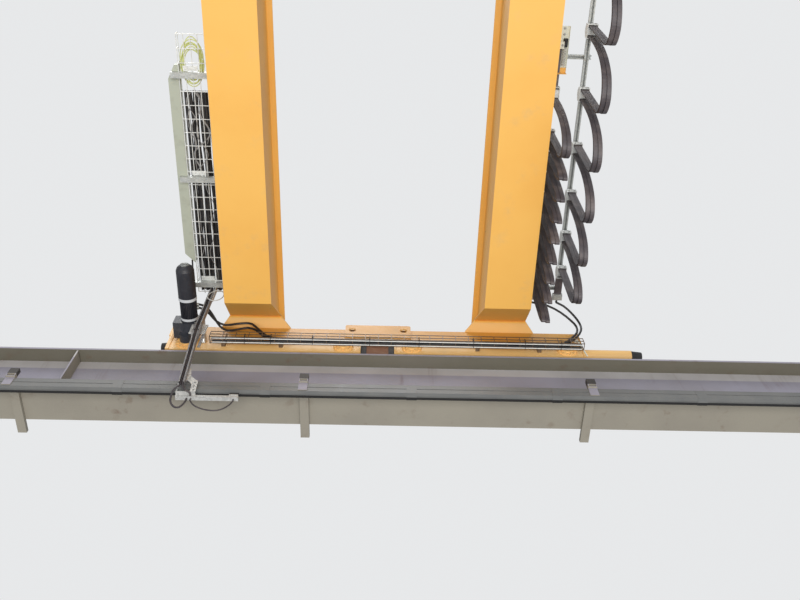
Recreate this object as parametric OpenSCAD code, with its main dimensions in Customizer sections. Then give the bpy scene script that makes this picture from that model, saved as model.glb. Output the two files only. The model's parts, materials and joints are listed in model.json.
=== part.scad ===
// Double-girder overhead bridge crane on one bay of its runway.
// X runs along the runway, Y along the girders, Z up; zero is under the bearing stools.

/* [Runway] */
// Distance between the two crane rails
span = 10500; // [9000:100:14000]
// Length of the bay of runway that is built
bay = 8000; // [6000:100:10000]
// Height of the stools that carry the runway beams
bearing_h = 350; // [340:5:420]
// Depth of a runway beam
beam_depth = 600; // [500:10:700]
// Width of a runway beam's flanges
beam_flange_w = 230; // [200:5:260]
// Thickness of a runway beam's flanges
beam_flange_t = 20; // [14:1:26]
// Thickness of a runway beam's web
beam_web_t = 12; // [8:1:16]
// Height of the crane rail
rail_h = 30; // [25:1:40]
// Width of the flat crane rail
rail_w = 50; // [45:1:55]

/* [Girders] */
// Distance between the centre lines of the two girders
girder_spacing = 1950; // [1900:10:2100]
// Depth of a girder over its long middle stretch
girder_depth = 600; // [540:10:680]
// Depth of a girder over its raised ends
girder_end_depth = 275; // [250:5:300]
// Width of a girder between the outer faces of its webs
girder_box_w = 300; // [280:5:310]
// Width of a girder's bottom flange
girder_bottom_w = 350; // [330:5:370]
// Width of the bottom flange where the girder's raised end begins
foot_neck_w = 410; // [390:5:440]
// Width of a girder's top flange
girder_top_w = 390; // [370:5:410]
// Thickness of a girder's flanges
girder_flange_t = 12; // [8:1:18]
// Distance from the crane rail back to the knee in the girder's bottom
knee_setback = 485; // [440:5:560]
// Slope of the girder's raised end
knee_angle = 49; // [42:1:55]
// Length of a girder past the truck's outer face
girder_overhang = 110; // [80:5:140]
// Width of the flared foot plate under a girder's end
foot_w = 550; // [500:10:600]
// Thickness of the foot plate
foot_t = 15; // [10:1:25]

/* [End carriages] */
// Height of a truck's box section
truck_h = 345; // [320:5:360]
// Width of a truck's box section
truck_w = 200; // [190:5:210]
// Thickness of a truck's end plates
truck_plate_t = 15; // [10:1:20]
// Distance between a truck's two wheels
truck_wheel_base = 1210; // [1100:10:1300]
// Distance from a wheel's centre to the truck's end
truck_overhang = 135; // [134:1:145]
// Clear gap between the two trucks of a carriage
truck_gap = 260; // [220:10:300]
// Height of a truck's underside over the rail
truck_lift = 15; // [10:1:20]
// Diameter of a travel wheel's tread
wheel_d = 200; // [190:1:210]
// Height of a travel wheel's flanges
wheel_flange_h = 14; // [10:1:15]
// Diameter of a travel wheel's axle
axle_d = 60; // [50:1:70]
// Diameter of the bearing housings on the truck's sides
bearing_d = 156; // [140:1:170]
// Length of the tie plate that joins the trucks
tie_plate_len = 520; // [480:10:560]
// Height of the tie plate
tie_plate_h = 190; // [160:5:220]
// Diameter of the lifting holes in the tie plate
tie_hole_d = 57; // [40:1:65]
// Distance between the lifting holes
tie_hole_pitch = 408; // [360:2:420]
// Length of the long buffer's tube
buffer_len = 400; // [300:10:450]
// Diameter of the buffer tubes
buffer_d = 100; // [90:1:110]

/* [Travel drive] */
// Width of the travel gearbox
gearbox_w = 168; // [156:2:180]
// Length of the travel gearbox away from the truck
gearbox_len = 133; // [120:1:145]
// Height of the motor's axis over the wheel's
motor_rise = 90; // [85:1:100]
// Diameter of the travel motor's body
motor_d = 126; // [112:2:140]
// Length of the travel motor's body with its flange
motor_len = 180; // [160:5:220]
// Length of the brake cowl behind the motor
cowl_len = 290; // [240:5:300]

/* [Cable trays] */
// Length of the wire tray on the left girder
tray_len = 2000; // [1800:100:2200]
// Width of the wire tray on the left girder
tray_w = 300; // [250:50:350]
// Height of the wire tray's sides
tray_side = 60; // [50:5:80]
// Pitch of the tray's cross wires
wire_pitch = 100; // [80:5:120]
// Pitch of the tray's long wires
wire_cross_pitch = 50; // [40:5:60]
// Thickness of the tray's wires
wire_d = 5; // [4:0.5:6]
// Width of the strut channel
strut_w = 41; // [38:1:44]
// Wall of the strut channel
strut_t = 3; // [2:0.5:4]
// Width of the slot in the strut channel
strut_slot = 22; // [18:1:26]
// Height of the strut arms over the girder's bottom
arm_rise = 420; // [380:10:440]
// Width of the sheet trunking beside the tray
trunking_w = 75; // [60:5:90]

/* [Conductor line and collector] */
// Distance between the conductor line's hangers
hanger_pitch = 2000; // [1500:50:2100]
// Length of a hanger bar across the beam's bottom flange
hanger_len = 480; // [460:10:500]
// Width of the conductor line's housing
conductor_w = 56; // [50:1:62]
// Height of the conductor line's housing
conductor_h = 95; // [85:1:100]
// Distance between the sleeves on the housing's joints
sleeve_pitch = 1000; // [800:50:1500]
// Length of the collector's horizontal bar
collector_bar_len = 420; // [360:10:460]

/* [Festoon] */
// Distance from the girder's centre line to the inner track
track_inner_x = 250; // [240:1:290]
// Distance from the girder's centre line to the outer track
track_outer_x = 465; // [440:1:480]
// Width of the C-shaped track
track_w = 32; // [30:1:36]
// Wall of the C-shaped track
track_t = 2.5; // [2:0.5:3]
// Distance between the arms that carry the tracks
track_arm_pitch = 1840; // [1600:20:2200]
// Spacing of the inner line's cable carriers
inner_pitch = 156; // [150:1:180]
// Spacing of the outer line's two farthest cable carriers
outer_pitch = 300; // [270:5:330]
// Difference in width between each gap of the outer line and the next
outer_spread = 35; // [20:5:40]
// Number of loops in the inner line
inner_loops = 9; // [6:1:11]
// Number of loops in the outer line
outer_loops = 7; // [5:1:8]
// Depth of the inner line's loops
inner_depth = 660; // [560:10:760]
// Depth of the outer line's loops
outer_depth = 650; // [560:10:760]
// Width of the flat festoon cable pack
flat_cable_w = 60; // [50:1:70]
// Thickness of the flat festoon cable pack
flat_cable_t = 12; // [8:1:14]
// Radius of the saddle that the cable hangs over
saddle_r = 30; // [26:1:34]

/* [Trolley] */
// Place of the trolley's centre along the girders
trolley_y = 800; // [500:50:900]
// Distance between the trolley's wheels along the girders
trolley_base = 1100; // [1000:50:1200]
// Diameter of the trolley's wheels
trolley_wheel_d = 160; // [140:5:180]
// Width of the trolley rails
trolley_rail_w = 50; // [40:1:60]
// Height of the trolley rails
trolley_rail_h = 40; // [30:1:50]
// Diameter of the rope drum
drum_d = 320; // [280:10:340]
// Length of the rope drum
drum_len = 900; // [800:10:1000]
// Diameter of the hoist rope
rope_d = 12; // [9:1:14]
// Height of the hook block's sheave axle over the ground
block_z = 640; // [560:10:760]

/* [Hidden] */
$fn = 48;

crane_yellow = [0.96, 0.70, 0.16];
beam_grey = [0.58, 0.56, 0.53];
galvanised = [0.78, 0.79, 0.77];
dark_grey = [0.20, 0.21, 0.22];
cable_black = [0.09, 0.09, 0.10];

// Running clearance between a wheel's tread and its rail, and of shafts in their bores
seat = 0.3;
// Levels, from the ground up
beam_z = bearing_h;
beam_top = beam_z + beam_depth;
rail_top = beam_top + rail_h;
axle_z = rail_top + seat + wheel_d / 2;
truck_z = rail_top + truck_lift;
truck_top = truck_z + truck_h;
seat_z = truck_top + foot_t;
girder_top = seat_z + girder_end_depth;
girder_z = girder_top - girder_depth;
// Places along the girders
rail_y = span / 2;
truck_inner_y = rail_y - truck_w / 2;
knee_y = rail_y - knee_setback;
ramp_y = knee_y + (seat_z - girder_z) / tan(knee_angle);
girder_end_y = rail_y + truck_w / 2 + girder_overhang;
track_far_y = knee_y + 150;
// Places along the runway
girder_x = girder_spacing / 2;
truck_len = truck_wheel_base + 2 * truck_overhang;
truck_x = truck_gap / 2;
truck_end_x = truck_x + truck_len;
wheel_inner_x = truck_x + truck_overhang;
wheel_outer_x = wheel_inner_x + truck_wheel_base;
web_x = girder_x + girder_box_w / 2;

module both_ways_x() { children(); mirror([1, 0, 0]) children(); }
module both_ends() { children(); mirror([0, 1, 0]) children(); }
// Turns a flat shape drawn in Y and Z into a solid that is thick along X
module thick_x(thick) rotate([90, 0, 90]) linear_extrude(thick, center = true) children();
// Turns a flat shape drawn in X and Z into a solid that is thick along Y, towards the middle
module thick_y(thick) rotate([90, 0, 0]) linear_extrude(thick) children();
// A round bar between two points on the X axis, or one along Y
module rod_x(d, long) rotate([0, 90, 0]) cylinder(d = d, h = long, center = true);
module rod_y(d, long) rotate([-90, 0, 0]) cylinder(d = d, h = long);
// Outline of a strut channel with its slot at the top
module strut_profile(wide = strut_w) difference() {
    translate([-wide / 2, 0]) square(wide);
    translate([strut_t - wide / 2, strut_t]) square(wide - 2 * strut_t);
    translate([-strut_slot * wide / strut_w / 2, wide - 2 * strut_t]) square([strut_slot * wide / strut_w, 3 * strut_t]);
}

// Runway
stool_len = 300;
stool_plate_t = 20;
stool_rib_t = 16;
stool_bolt_d = 26;
stool_bolt_x = 220;
stool_bolt_y = 150;
stool_x = bay / 2 - stool_len / 2;
stiffener_x = -2260;
stiffener_t = 12;
stiffener_gap = 6;
end_margin = stool_len / 2;

module beam_profile() {
    translate([-beam_flange_w / 2, 0]) square([beam_flange_w, beam_flange_t]);
    translate([-beam_flange_w / 2, beam_depth - beam_flange_t]) square([beam_flange_w, beam_flange_t]);
    translate([-beam_web_t / 2, 0]) square([beam_web_t, beam_depth]);
}

module runway_beam() color(beam_grey) translate([0, rail_y, beam_z]) {
    thick_x(bay) beam_profile();
    for (x = [end_margin - bay / 2, stiffener_x, bay / 2 - end_margin])
        translate([x - stiffener_t / 2, stiffener_gap - beam_flange_w / 2, beam_flange_t])
            cube([stiffener_t, beam_flange_w - 2 * stiffener_gap, beam_depth - 2 * beam_flange_t]);
}

rail_edge = 4;
module crane_rail() color([0.42, 0.40, 0.39]) translate([0, rail_y, beam_top]) thick_x(bay)
    polygon([[-rail_w / 2, 0], [rail_w / 2, 0], [rail_w / 2, rail_h - rail_edge], [rail_w / 2 - rail_edge, rail_h],
        [rail_edge - rail_w / 2, rail_h], [-rail_w / 2, rail_h - rail_edge]]);

module stool() {
    difference() {
        translate([-stool_len / 2, -beam_flange_w / 2, 0]) cube([stool_len, beam_flange_w, stool_plate_t]);
        for (x = [-1, 1], y = [-1, 1])
            translate([x * stool_bolt_x / 2, y * stool_bolt_y / 2, -1]) cylinder(d = stool_bolt_d, h = stool_plate_t + 2);
    }
    translate([-stool_len / 2, -beam_flange_w / 2, bearing_h - stool_plate_t])
        cube([stool_len, beam_flange_w, stool_plate_t]);
    translate([-stool_rib_t / 2, 10 - beam_flange_w / 2, stool_plate_t])
        cube([stool_rib_t, beam_flange_w - 20, bearing_h - 2 * stool_plate_t]);
    translate([10 - stool_len / 2, -stool_rib_t / 2, stool_plate_t])
        cube([stool_len - 20, stool_rib_t, bearing_h - 2 * stool_plate_t]);
}

module bearing_stools() color(beam_grey) both_ends() both_ways_x()
    translate([stool_x, rail_y, 0]) stool();

// Conductor line, on the far runway beam only
hanger_w = 62;
hanger_h = 30;
hanger_t = 5;
hanger_out = 95;
hanger_phase = -500;
hanger_xs = [for (i = [-3 : 3]) let (x = hanger_phase + i * hanger_pitch)
    if (abs(x) < bay / 2 - stool_len - hanger_w) x];
clip_t = 5;
clip_lift = 10;
post_len = 32;
post_h = 65;
conductor_y = rail_y - 223;
conductor_z = beam_z - hanger_h - conductor_h;
conductor_len = bay - 500;
sleeve_phase = 245;
sleeve_len = 70;
sleeve_t = 2;
sleeve_xs = [for (i = [-6 : 6]) let (x = sleeve_phase + i * sleeve_pitch) if (abs(x) < conductor_len / 2 - sleeve_len) x];
lip_w = 6;
lip_depth = 4;
housing_groove = 8;

module conductor_hangers() color(beam_grey) for (x = hanger_xs) translate([x, 0, beam_z - hanger_h]) {
    translate([-hanger_w / 2, rail_y + beam_flange_w / 2 + hanger_out, 0]) mirror([0, 1, 0]) difference() {
        cube([hanger_w, hanger_len, hanger_h]);
        translate([hanger_t, -1, hanger_t]) cube([hanger_w - 2 * hanger_t, hanger_len + 2, hanger_h]);
    }
    for (side = [0, 1]) translate([-hanger_w / 2, conductor_y + side * (conductor_w + clip_t) - conductor_w / 2 - clip_t,
        clip_lift - conductor_h]) cube([hanger_w, clip_t, conductor_h - clip_lift]);
    translate([-hanger_w / 2, rail_y + beam_flange_w / 2 + hanger_out - hanger_len, hanger_h])
        cube([hanger_w, post_len, post_h]);
}

module housing_profile() difference() {
    translate([-conductor_w / 2, 0]) square([conductor_w, conductor_h]);
    translate([-lip_w / 2, -1]) square([lip_w, lip_depth + 1]);
    for (s = [-1, 1]) translate([s * conductor_w / 2, conductor_h / 2]) square(housing_groove, center = true);
}
module conductor_line() color([0.42, 0.42, 0.43]) translate([0, conductor_y, conductor_z]) {
    thick_x(conductor_len) housing_profile();
    for (x = sleeve_xs) translate([x, 0, -sleeve_t]) thick_x(sleeve_len)
        translate([-conductor_w / 2 - sleeve_t, 0]) square([conductor_w + 2 * sleeve_t, conductor_h - sleeve_t]);
}

// Girders
module girder_profile(extra) polygon([
    [-girder_end_y - extra, seat_z], [-ramp_y, seat_z], [-knee_y, girder_z], [knee_y, girder_z],
    [ramp_y, seat_z], [girder_end_y + extra, seat_z],
    [girder_end_y + extra, girder_top], [-girder_end_y - extra, girder_top]]);

module bottom_flange() difference() {
    girder_profile(0);
    translate([0, girder_flange_t]) girder_profile(10);
}
// The bottom flange widens along the slope
module flange_plan() for (s = [-1, 1]) polygon([
    [-girder_bottom_w / 2, -1 * s], [-girder_bottom_w / 2, s * knee_y], [-foot_neck_w / 2, s * ramp_y],
    [-foot_neck_w / 2, s * girder_end_y], [foot_neck_w / 2, s * girder_end_y],
    [foot_neck_w / 2, s * ramp_y], [girder_bottom_w / 2, s * knee_y], [girder_bottom_w / 2, -1 * s]]);
module girder() color(crane_yellow) translate([girder_x, 0, 0]) {
    thick_x(girder_box_w) girder_profile(-12);
    intersection() {
        thick_x(foot_neck_w) bottom_flange();
        linear_extrude(girder_top) flange_plan();
    }
    translate([-girder_top_w / 2, -girder_end_y, girder_top - girder_flange_t])
        cube([girder_top_w, 2 * girder_end_y, girder_flange_t]);
}

module girder_feet() color(crane_yellow) both_ends() both_ways_x()
    translate([girder_x, 0, truck_top]) linear_extrude(foot_t) polygon([
        [-foot_neck_w / 2, ramp_y], [foot_neck_w / 2, ramp_y], [foot_w / 2, truck_inner_y], [foot_w / 2, girder_end_y],
        [-foot_w / 2, girder_end_y], [-foot_w / 2, truck_inner_y]]);

// End carriages
pocket_w = 90;
pocket_clear = 3;
truck_lip = 8;
axle_bore = axle_d + 0.6;
module truck() color(crane_yellow) translate([truck_x, truck_inner_y, truck_z]) difference() {
    union() {
        translate([truck_plate_t, 0, 0]) cube([truck_len - 2 * truck_plate_t, truck_w, truck_h]);
        for (x = [0, truck_len - truck_plate_t]) translate([x, -truck_lip, -6]) cube([truck_plate_t, truck_w + 2 * truck_lip, truck_h + 6]);
    }
    for (x = [truck_overhang, truck_overhang + truck_wheel_base]) {
        translate([x - wheel_d / 2 - wheel_flange_h - pocket_clear, (truck_w - pocket_w) / 2, -10])
            cube([wheel_d + 2 * wheel_flange_h + 2 * pocket_clear, pocket_w,
                axle_z - truck_z + wheel_d / 2 + wheel_flange_h + pocket_clear + 10]);
        translate([x, -1, axle_z - truck_z]) rod_y(axle_bore, truck_w + 2);
    }
    translate([tie_hole_pitch / 2 - truck_x, -1, truck_h + tie_rise - tie_hole_drop]) rod_y(tie_hole_d, truck_w + 2);
}

// Flat post on the end of a left truck, with a block half way up
post_t = 12;
post_w = 58;
post_top = truck_top + 121;
post_block_z = truck_z + 200;
post_block_h = 160;
module end_post() color(crane_yellow) translate([truck_end_x, truck_inner_y - truck_lip, truck_z - 6]) {
    cube([post_t, post_w, post_top - truck_z + 6]);
    translate([0, 0, post_block_z - truck_z]) cube([2 * post_t, post_w, post_block_h]);
}

module left_truck() {
    truck();
    end_post();
}

// Half section of a double-flanged wheel: tread radius, flange height and half the tread's width
flange_clear = 5.5;
flange_thick = 9;
module wheel_section(r, h, half) polygon([[0, -half - flange_thick], [r + h - 3, -half - flange_thick],
    [r + h, -half - flange_thick + 3], [r + h, -half - 2], [r, -half], [r, half], [r + h, half + 2],
    [r + h, half + flange_thick - 3], [r + h - 3, half + flange_thick], [0, half + flange_thick]]);
module travel_wheel() translate([0, rail_y, axle_z]) rotate([90, 0, 0]) {
    rotate_extrude() wheel_section(wheel_d / 2, wheel_flange_h, rail_w / 2 + flange_clear);
    cylinder(d = axle_d, h = truck_w, center = true);
}

module travel_wheels() color(dark_grey) both_ways_x() for (x = [wheel_inner_x, wheel_outer_x])
    translate([x, 0, 0]) travel_wheel();

// Bearing housings, one on each side of the truck at each wheel
cap_t = 26;
cap_scallop_d = 14;
module bearing_cap() difference() {
    union() {
        rod_y(bearing_d, cap_t / 2);
        rod_y(bearing_d * 0.7, cap_t);
    }
    for (a = [0 : 45 : 315]) rotate([0, a, 0]) translate([bearing_d / 2, -1, 0]) rod_y(cap_scallop_d, cap_t);
}
module bearing_caps() color(crane_yellow) both_ends() both_ways_x() for (x = [wheel_inner_x, wheel_outer_x]) {
    translate([x, truck_inner_y, axle_z]) mirror([0, 1, 0]) bearing_cap();
    translate([x, truck_inner_y + truck_w, axle_z]) bearing_cap();
}

// The link between the two trucks of a carriage
tie_plate_t = 14;
tie_rise = 37;
tie_hole_drop = 76;
tie_corner = 10;
tie_plate_z = truck_top + tie_rise - tie_plate_h;
link_box_w = 150;
link_box_h = 180;
packer_t = 45;
packer_rim = 5;
link_z = truck_z + 12;
module tie_plate() difference() {
    polygon([[-tie_plate_len / 2, 0], [tie_plate_len / 2, 0], [tie_plate_len / 2, tie_plate_h - tie_corner],
        [tie_plate_len / 2 - tie_corner, tie_plate_h], [tie_corner - tie_plate_len / 2, tie_plate_h],
        [-tie_plate_len / 2, tie_plate_h - tie_corner]]);
    for (s = [-1, 1]) translate([s * tie_hole_pitch / 2, tie_plate_h - tie_hole_drop]) circle(d = tie_hole_d);
}
module tie_links() color(crane_yellow) both_ends() {
    translate([0, truck_inner_y - truck_lip, tie_plate_z]) thick_y(tie_plate_t) tie_plate();
    translate([0, truck_inner_y + truck_w + truck_lip + tie_plate_t, tie_plate_z]) thick_y(tie_plate_t) tie_plate();
}
module link_blocks() color([0.36, 0.24, 0.16]) both_ends() translate([packer_t - truck_x, rail_y - link_box_w / 2, link_z])
    cube([truck_gap - 2 * packer_t, link_box_w, link_box_h]);
module link_packers() color(cable_black) both_ends() both_ways_x()
    translate([truck_x - packer_t, rail_y - link_box_w / 2 - packer_rim, link_z - packer_rim])
        cube([packer_t, link_box_w + 2 * packer_rim, link_box_h + 2 * packer_rim]);

// Buffers
buffer_z = truck_z + truck_h / 2;
buffer_head_len = 85;
buffer_plate = 150;
buffer_plate_t = 12;
module buffer_tubes() color(crane_yellow) both_ends() translate([truck_end_x, rail_y, buffer_z]) {
    translate([0, -buffer_plate / 2, -buffer_plate / 2]) cube([buffer_plate_t, buffer_plate, buffer_plate]);
    translate([buffer_plate_t, 0, 0]) rotate([0, 90, 0]) cylinder(d = buffer_d, h = buffer_len - buffer_plate_t);
}
module buffer_head() cylinder(d1 = buffer_d - 6, d2 = buffer_d - 24, h = buffer_head_len);
module buffer_heads() color(dark_grey) both_ends() {
    translate([truck_end_x + buffer_len, rail_y, buffer_z]) rotate([0, 90, 0]) buffer_head();
    translate([-truck_end_x, rail_y, buffer_z]) rotate([0, -90, 0]) buffer_head();
}

// Travel drive in front of the far left wheel's inner bearing
drive_x = -wheel_outer_x;
drive_z = axle_z + motor_rise;
drive_y = truck_inner_y - cap_t;
motor_shift = 19;
gearbox_shift = -17;
gearbox_half_h = 75;
boss_d = 96;
boss_len = 60;
pad_w = 80;
pad_h = 60;
motor_flange_t = 36;
module travel_gearbox() color(dark_grey) translate([drive_x, drive_y, drive_z]) {
    thick_y(gearbox_len) {
        translate([motor_shift, 0]) circle(r = gearbox_half_h);
        translate([gearbox_shift - gearbox_w / 2, -pad_h]) square([gearbox_w, 2 * pad_h]);
    }
    thick_y(boss_len) {
        translate([0, -motor_rise]) circle(d = boss_d);
        translate([-boss_d / 2, -motor_rise]) square([boss_d, motor_rise]);
    }
    translate([-pad_w / 2, 0, 0]) cube([pad_w, cap_t, pad_h]);
}
fin_t = 3;
fin_h = 12;
ring_t = 24;
dome = 45;
terminal_w = 80;
terminal_h = 60;
module travel_motor() translate([drive_x + motor_shift, drive_y - gearbox_len, drive_z]) {
    color([0.66, 0.70, 0.66]) thick_y(motor_flange_t) circle(d = motor_d + 6);
    color(cable_black) translate([0, -motor_flange_t, 0]) thick_y(motor_len - motor_flange_t) {
        circle(d = motor_d - 2 * fin_h);
        for (a = [0 : 12 : 348]) rotate(a) translate([0, motor_d / 4]) square([fin_t, motor_d / 2], center = true);
    }
    color(dark_grey) translate([-terminal_w / 2, terminal_h / 2 - motor_len, motor_d / 2 - fin_h])
        cube([terminal_w, motor_len - motor_flange_t - terminal_h / 2, terminal_h]);
    color(galvanised) translate([0, -motor_len, 0]) thick_y(ring_t) circle(d = motor_d + 12);
    color(dark_grey) translate([0, -motor_len - ring_t, 0]) rotate([90, 0, 0]) rotate_extrude() polygon([[0, 0],
        [motor_d / 2 + 5, 0], [motor_d / 2 + 5, cowl_len - ring_t - dome], [motor_d / 2 - 4, cowl_len - ring_t - dome / 2],
        [motor_d / 2 - dome / 2, cowl_len - ring_t - dome / 8], [motor_d / 2 - dome, cowl_len - ring_t], [0, cowl_len - ring_t]]);
}

// Wire trays: flat grids of square wires
module wire_grid(long, wide, pitch_long, pitch_wide) {
    cells_long = round(long / pitch_long);
    cells_wide = max(1, round(wide / pitch_wide));
    cell_long = (long - wire_d) / cells_long;
    cell_wide = (wide - wire_d) / cells_wide;
    linear_extrude(wire_d) difference() {
        square([long, wide]);
        for (i = [0 : cells_long - 1], j = [0 : cells_wide - 1])
            translate([wire_d + i * cell_long, wire_d + j * cell_wide])
                square([cell_long - wire_d, cell_wide - wire_d]);
    }
}
// A tray along +X: its floor runs from y = 0 to wide, its sides stand up
module wire_tray(long, wide, side) {
    wire_grid(long, wide, wire_pitch, wire_cross_pitch);
    for (y = [wire_d, wide]) translate([0, y, 0]) rotate([90, 0, 0]) wire_grid(long, side, wire_pitch, wire_cross_pitch);
}

arm_z = girder_z + arm_rise - strut_w;
tray_z = arm_z + strut_w;
tray_far_y = knee_y + 125;
tray_near_y = tray_far_y - tray_len;
tray_gap = 12;
tray_in_x = -web_x - tray_gap;
tray_out_x = tray_in_x - tray_w;
module girder_tray() color(galvanised) translate([tray_in_x, tray_near_y, tray_z])
    rotate([0, 0, 90]) wire_tray(tray_len, tray_w, tray_side);

tray_arm_ys = [tray_near_y + 280, tray_near_y + 1050, tray_far_y - 80];
arm_plate_t = 8;
arm_len = tray_w + 55;
module strut(long) rotate([90, 0, 90]) linear_extrude(long) strut_profile();
module tray_arms() color(galvanised) for (y = tray_arm_ys) {
    translate([-web_x - arm_plate_t - arm_len, y, arm_z]) strut(arm_len);
    translate([-web_x - arm_plate_t, y - 45, arm_z - 40]) cube([arm_plate_t, 90, 90]);
}

trunking_h = 60;
trunking_wall = 1.5;
trunking_chamfer = 100;
trunking_near_y = tray_near_y + 215;
trunking_far_y = tray_far_y - 255;
trunking_x = tray_out_x - 1;
module trunking_outline(inset) polygon([
    [trunking_x - inset, trunking_near_y + inset],
    [trunking_x - trunking_w / 3, trunking_near_y + inset],
    [trunking_x - trunking_w + inset, trunking_near_y + trunking_chamfer],
    [trunking_x - trunking_w + inset, trunking_far_y - trunking_w],
    [trunking_x - inset, trunking_far_y - inset]]);
module cable_trunking() color([0.74, 0.77, 0.67]) translate([0, 0, tray_z]) difference() {
    linear_extrude(trunking_h) trunking_outline(0);
    translate([0, 0, trunking_wall]) linear_extrude(trunking_h) trunking_outline(trunking_wall);
}

// Cables in the girder's tray, as [distance from the tray's outer side, diameter]
tray_cable_rows = [[46, 22], [78, 28], [120, 34], [160, 22], [192, 30], [232, 26], [262, 18]];
coil_len = 360;
coil_w = 170;
coil_ring = 34;
coil_h = 34;
coil_far_y = tray_near_y + 20 + coil_len;
module girder_tray_cables() color(cable_black) for (c = tray_cable_rows) {
    start = c[0] < coil_w + 40 ? coil_far_y + 20 : tray_near_y + 10;
    translate([tray_out_x + c[0], start, tray_z + wire_d + c[1] / 2 + 0.3]) rod_y(c[1], tray_far_y - 10 - start);
}
module coil_outline(grow) {
    r = coil_w / 2 + grow;
    for (y = [0, coil_len - coil_w]) translate([0, y]) circle(r);
    translate([-r, 0]) square([2 * r, coil_len - coil_w]);
}
module earth_cable_coil() color([0.72, 0.78, 0.25])
    translate([tray_out_x + 14 + coil_w / 2, tray_near_y + 20 + coil_w / 2, tray_z + wire_d + 0.3])
        linear_extrude(coil_h) difference() {
            coil_outline(0);
            coil_outline(-coil_ring);
        }

// Wire tray in front of the far carriage's trucks
low_tray_w = 60;
low_tray_side = 85;
low_tray_x0 = -1290;
low_tray_len = truck_end_x - low_tray_x0 - 10;
low_tray_y = truck_inner_y - cap_t - 2 - low_tray_w;
low_tray_z = truck_z + 45;
low_bracket_xs = [-1200, -760, 760, 1240];
module carriage_tray() color(galvanised) {
    translate([low_tray_x0, low_tray_y, low_tray_z]) wire_tray(low_tray_len, low_tray_w, low_tray_side);
    for (x = low_bracket_xs) translate([x, low_tray_y + low_tray_w, low_tray_z]) cube([30, cap_t + 2, 50]);
}
low_cable_rows = [[18, 20], [42, 16]];
module carriage_tray_cables() color(cable_black) for (c = low_cable_rows)
    translate([low_tray_x0 + 20, low_tray_y + c[0], low_tray_z + wire_d + c[1] / 2 + 0.3])
        rotate([0, 90, 0]) cylinder(d = c[1], h = low_tray_len - 40);

// Collector: a strut in two lengths down from the girder's tray, and a bar under the conductor line
strut_x = tray_out_x + tray_w / 2 - 25;
strut_back_y = tray_far_y - 10;
strut_mid_y = strut_back_y - strut_w / 2;
strut_top_z = tray_z - 2;
joint_z = tray_z - 680;
strut_lean = 10.6;
lower_len = 545;
joint_gap = 14;
joint_plate_w = 35;
joint_plate_h = 70;
weld_in = 0.5;
strut_plate_t = 6;
stay_z = truck_z + 90;
stay_h = 60;
stay_foot = 45;
stay_hole_pitch = 30;
stay_hole_d = 12;
gusset_drop = 150;
cross_half_w = 60;
cross_plate_h = 130;
strap_w = 20;
strap_drop = 190;
collector_bar_h = 22;
collector_bar_w = 30;
collector_bar_z = conductor_z - 73;
collector_bar_top = collector_bar_z + collector_bar_h;
fork_z = (collector_bar_top + strut_plate_t + seat - joint_z) / cos(strut_lean);
// Turns what is drawn at the strut's joint down along its lower length
module leaning() translate([strut_x, strut_back_y, joint_z]) rotate([strut_lean, 0, 0]) children();
module strut_up(long) linear_extrude(long) mirror([0, 1]) strut_profile();
module holes_in(xs, zs) for (x = xs, z = zs) translate([x, z]) circle(d = stay_hole_d);
module collector_strut() color(galvanised) {
    translate([strut_x, strut_back_y, joint_z]) strut_up(strut_top_z - joint_z);
    leaning() translate([0, 0, -lower_len]) strut_up(lower_len - joint_gap);
    // Bent plates on both sides that join the two lengths
    for (s = [-1, 1]) translate([strut_x + s * ((strut_w + strut_plate_t) / 2 - weld_in), strut_back_y, joint_z]) thick_x(strut_plate_t) {
        translate([-joint_plate_w - strut_t, -strut_t]) square([joint_plate_w, joint_plate_h]);
        rotate(strut_lean) translate([-joint_plate_w - strut_t, strut_t - joint_plate_h]) square([joint_plate_w, joint_plate_h]);
    }
    // Gusset to the tray's last arm
    translate([strut_x + (strut_w + strut_plate_t) / 2, 0, 0]) thick_x(strut_plate_t) polygon([
        [tray_arm_ys[2] + strut_w / 2, arm_z + strut_w - 2], [tray_arm_ys[2] + strut_w / 2, arm_z],
        [strut_back_y - strut_w / 2, arm_z - gusset_drop], [strut_back_y, arm_z - gusset_drop], [strut_back_y, arm_z + strut_w - 2]]);
    // Perforated plate and strap behind the joint
    translate([strut_x, strut_back_y + strut_plate_t, joint_z]) thick_y(strut_plate_t) difference() {
        union() {
            translate([-cross_half_w, 0]) square([2 * cross_half_w, cross_plate_h]);
            translate([cross_half_w - strap_w, -strap_drop]) square([strap_w, strap_drop + 1]);
        }
        holes_in([-45, -25, 0, 25, 45], [25, 65, 105]);
        holes_in([cross_half_w - strap_w / 2], [-strap_drop + 20 : 40 : -20]);
    }
    // Perforated stay back to the truck
    translate([strut_x - (strut_w + strut_plate_t) / 2, 0, stay_z]) thick_x(strut_plate_t) difference() {
        translate([strut_mid_y, 0]) square([truck_inner_y - strut_mid_y, stay_h]);
        for (y = [strut_mid_y + strut_w : stay_hole_pitch : truck_inner_y - stay_hole_pitch])
            translate([y, stay_h / 2]) circle(d = stay_hole_d);
    }
    translate([strut_x - strut_w / 2 - stay_foot, truck_inner_y - strut_plate_t, stay_z]) cube([stay_foot, strut_plate_t, stay_h]);
    // Perforated fork behind the strut's lower end
    leaning() translate([0, strut_plate_t - weld_in, 0]) thick_y(strut_plate_t) difference() {
        polygon([[-30, fork_z + 240], [28, fork_z + 240], [45, fork_z + 150], [100, fork_z + 100], [100, fork_z],
            [62, fork_z], [62, fork_z + 70], [30, fork_z + 110], [-22, fork_z + 110], [-25, fork_z], [-30, fork_z]]);
        holes_in([-10, 18], [fork_z + 130 : 35 : fork_z + 235]);
        holes_in([81], [fork_z + 20 : 35 : fork_z + 100]);
    }
}
collector_bar_x0 = strut_x - 32;
shoe_len = 60;
shoe_w = 12;
head_t = 10;
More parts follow.
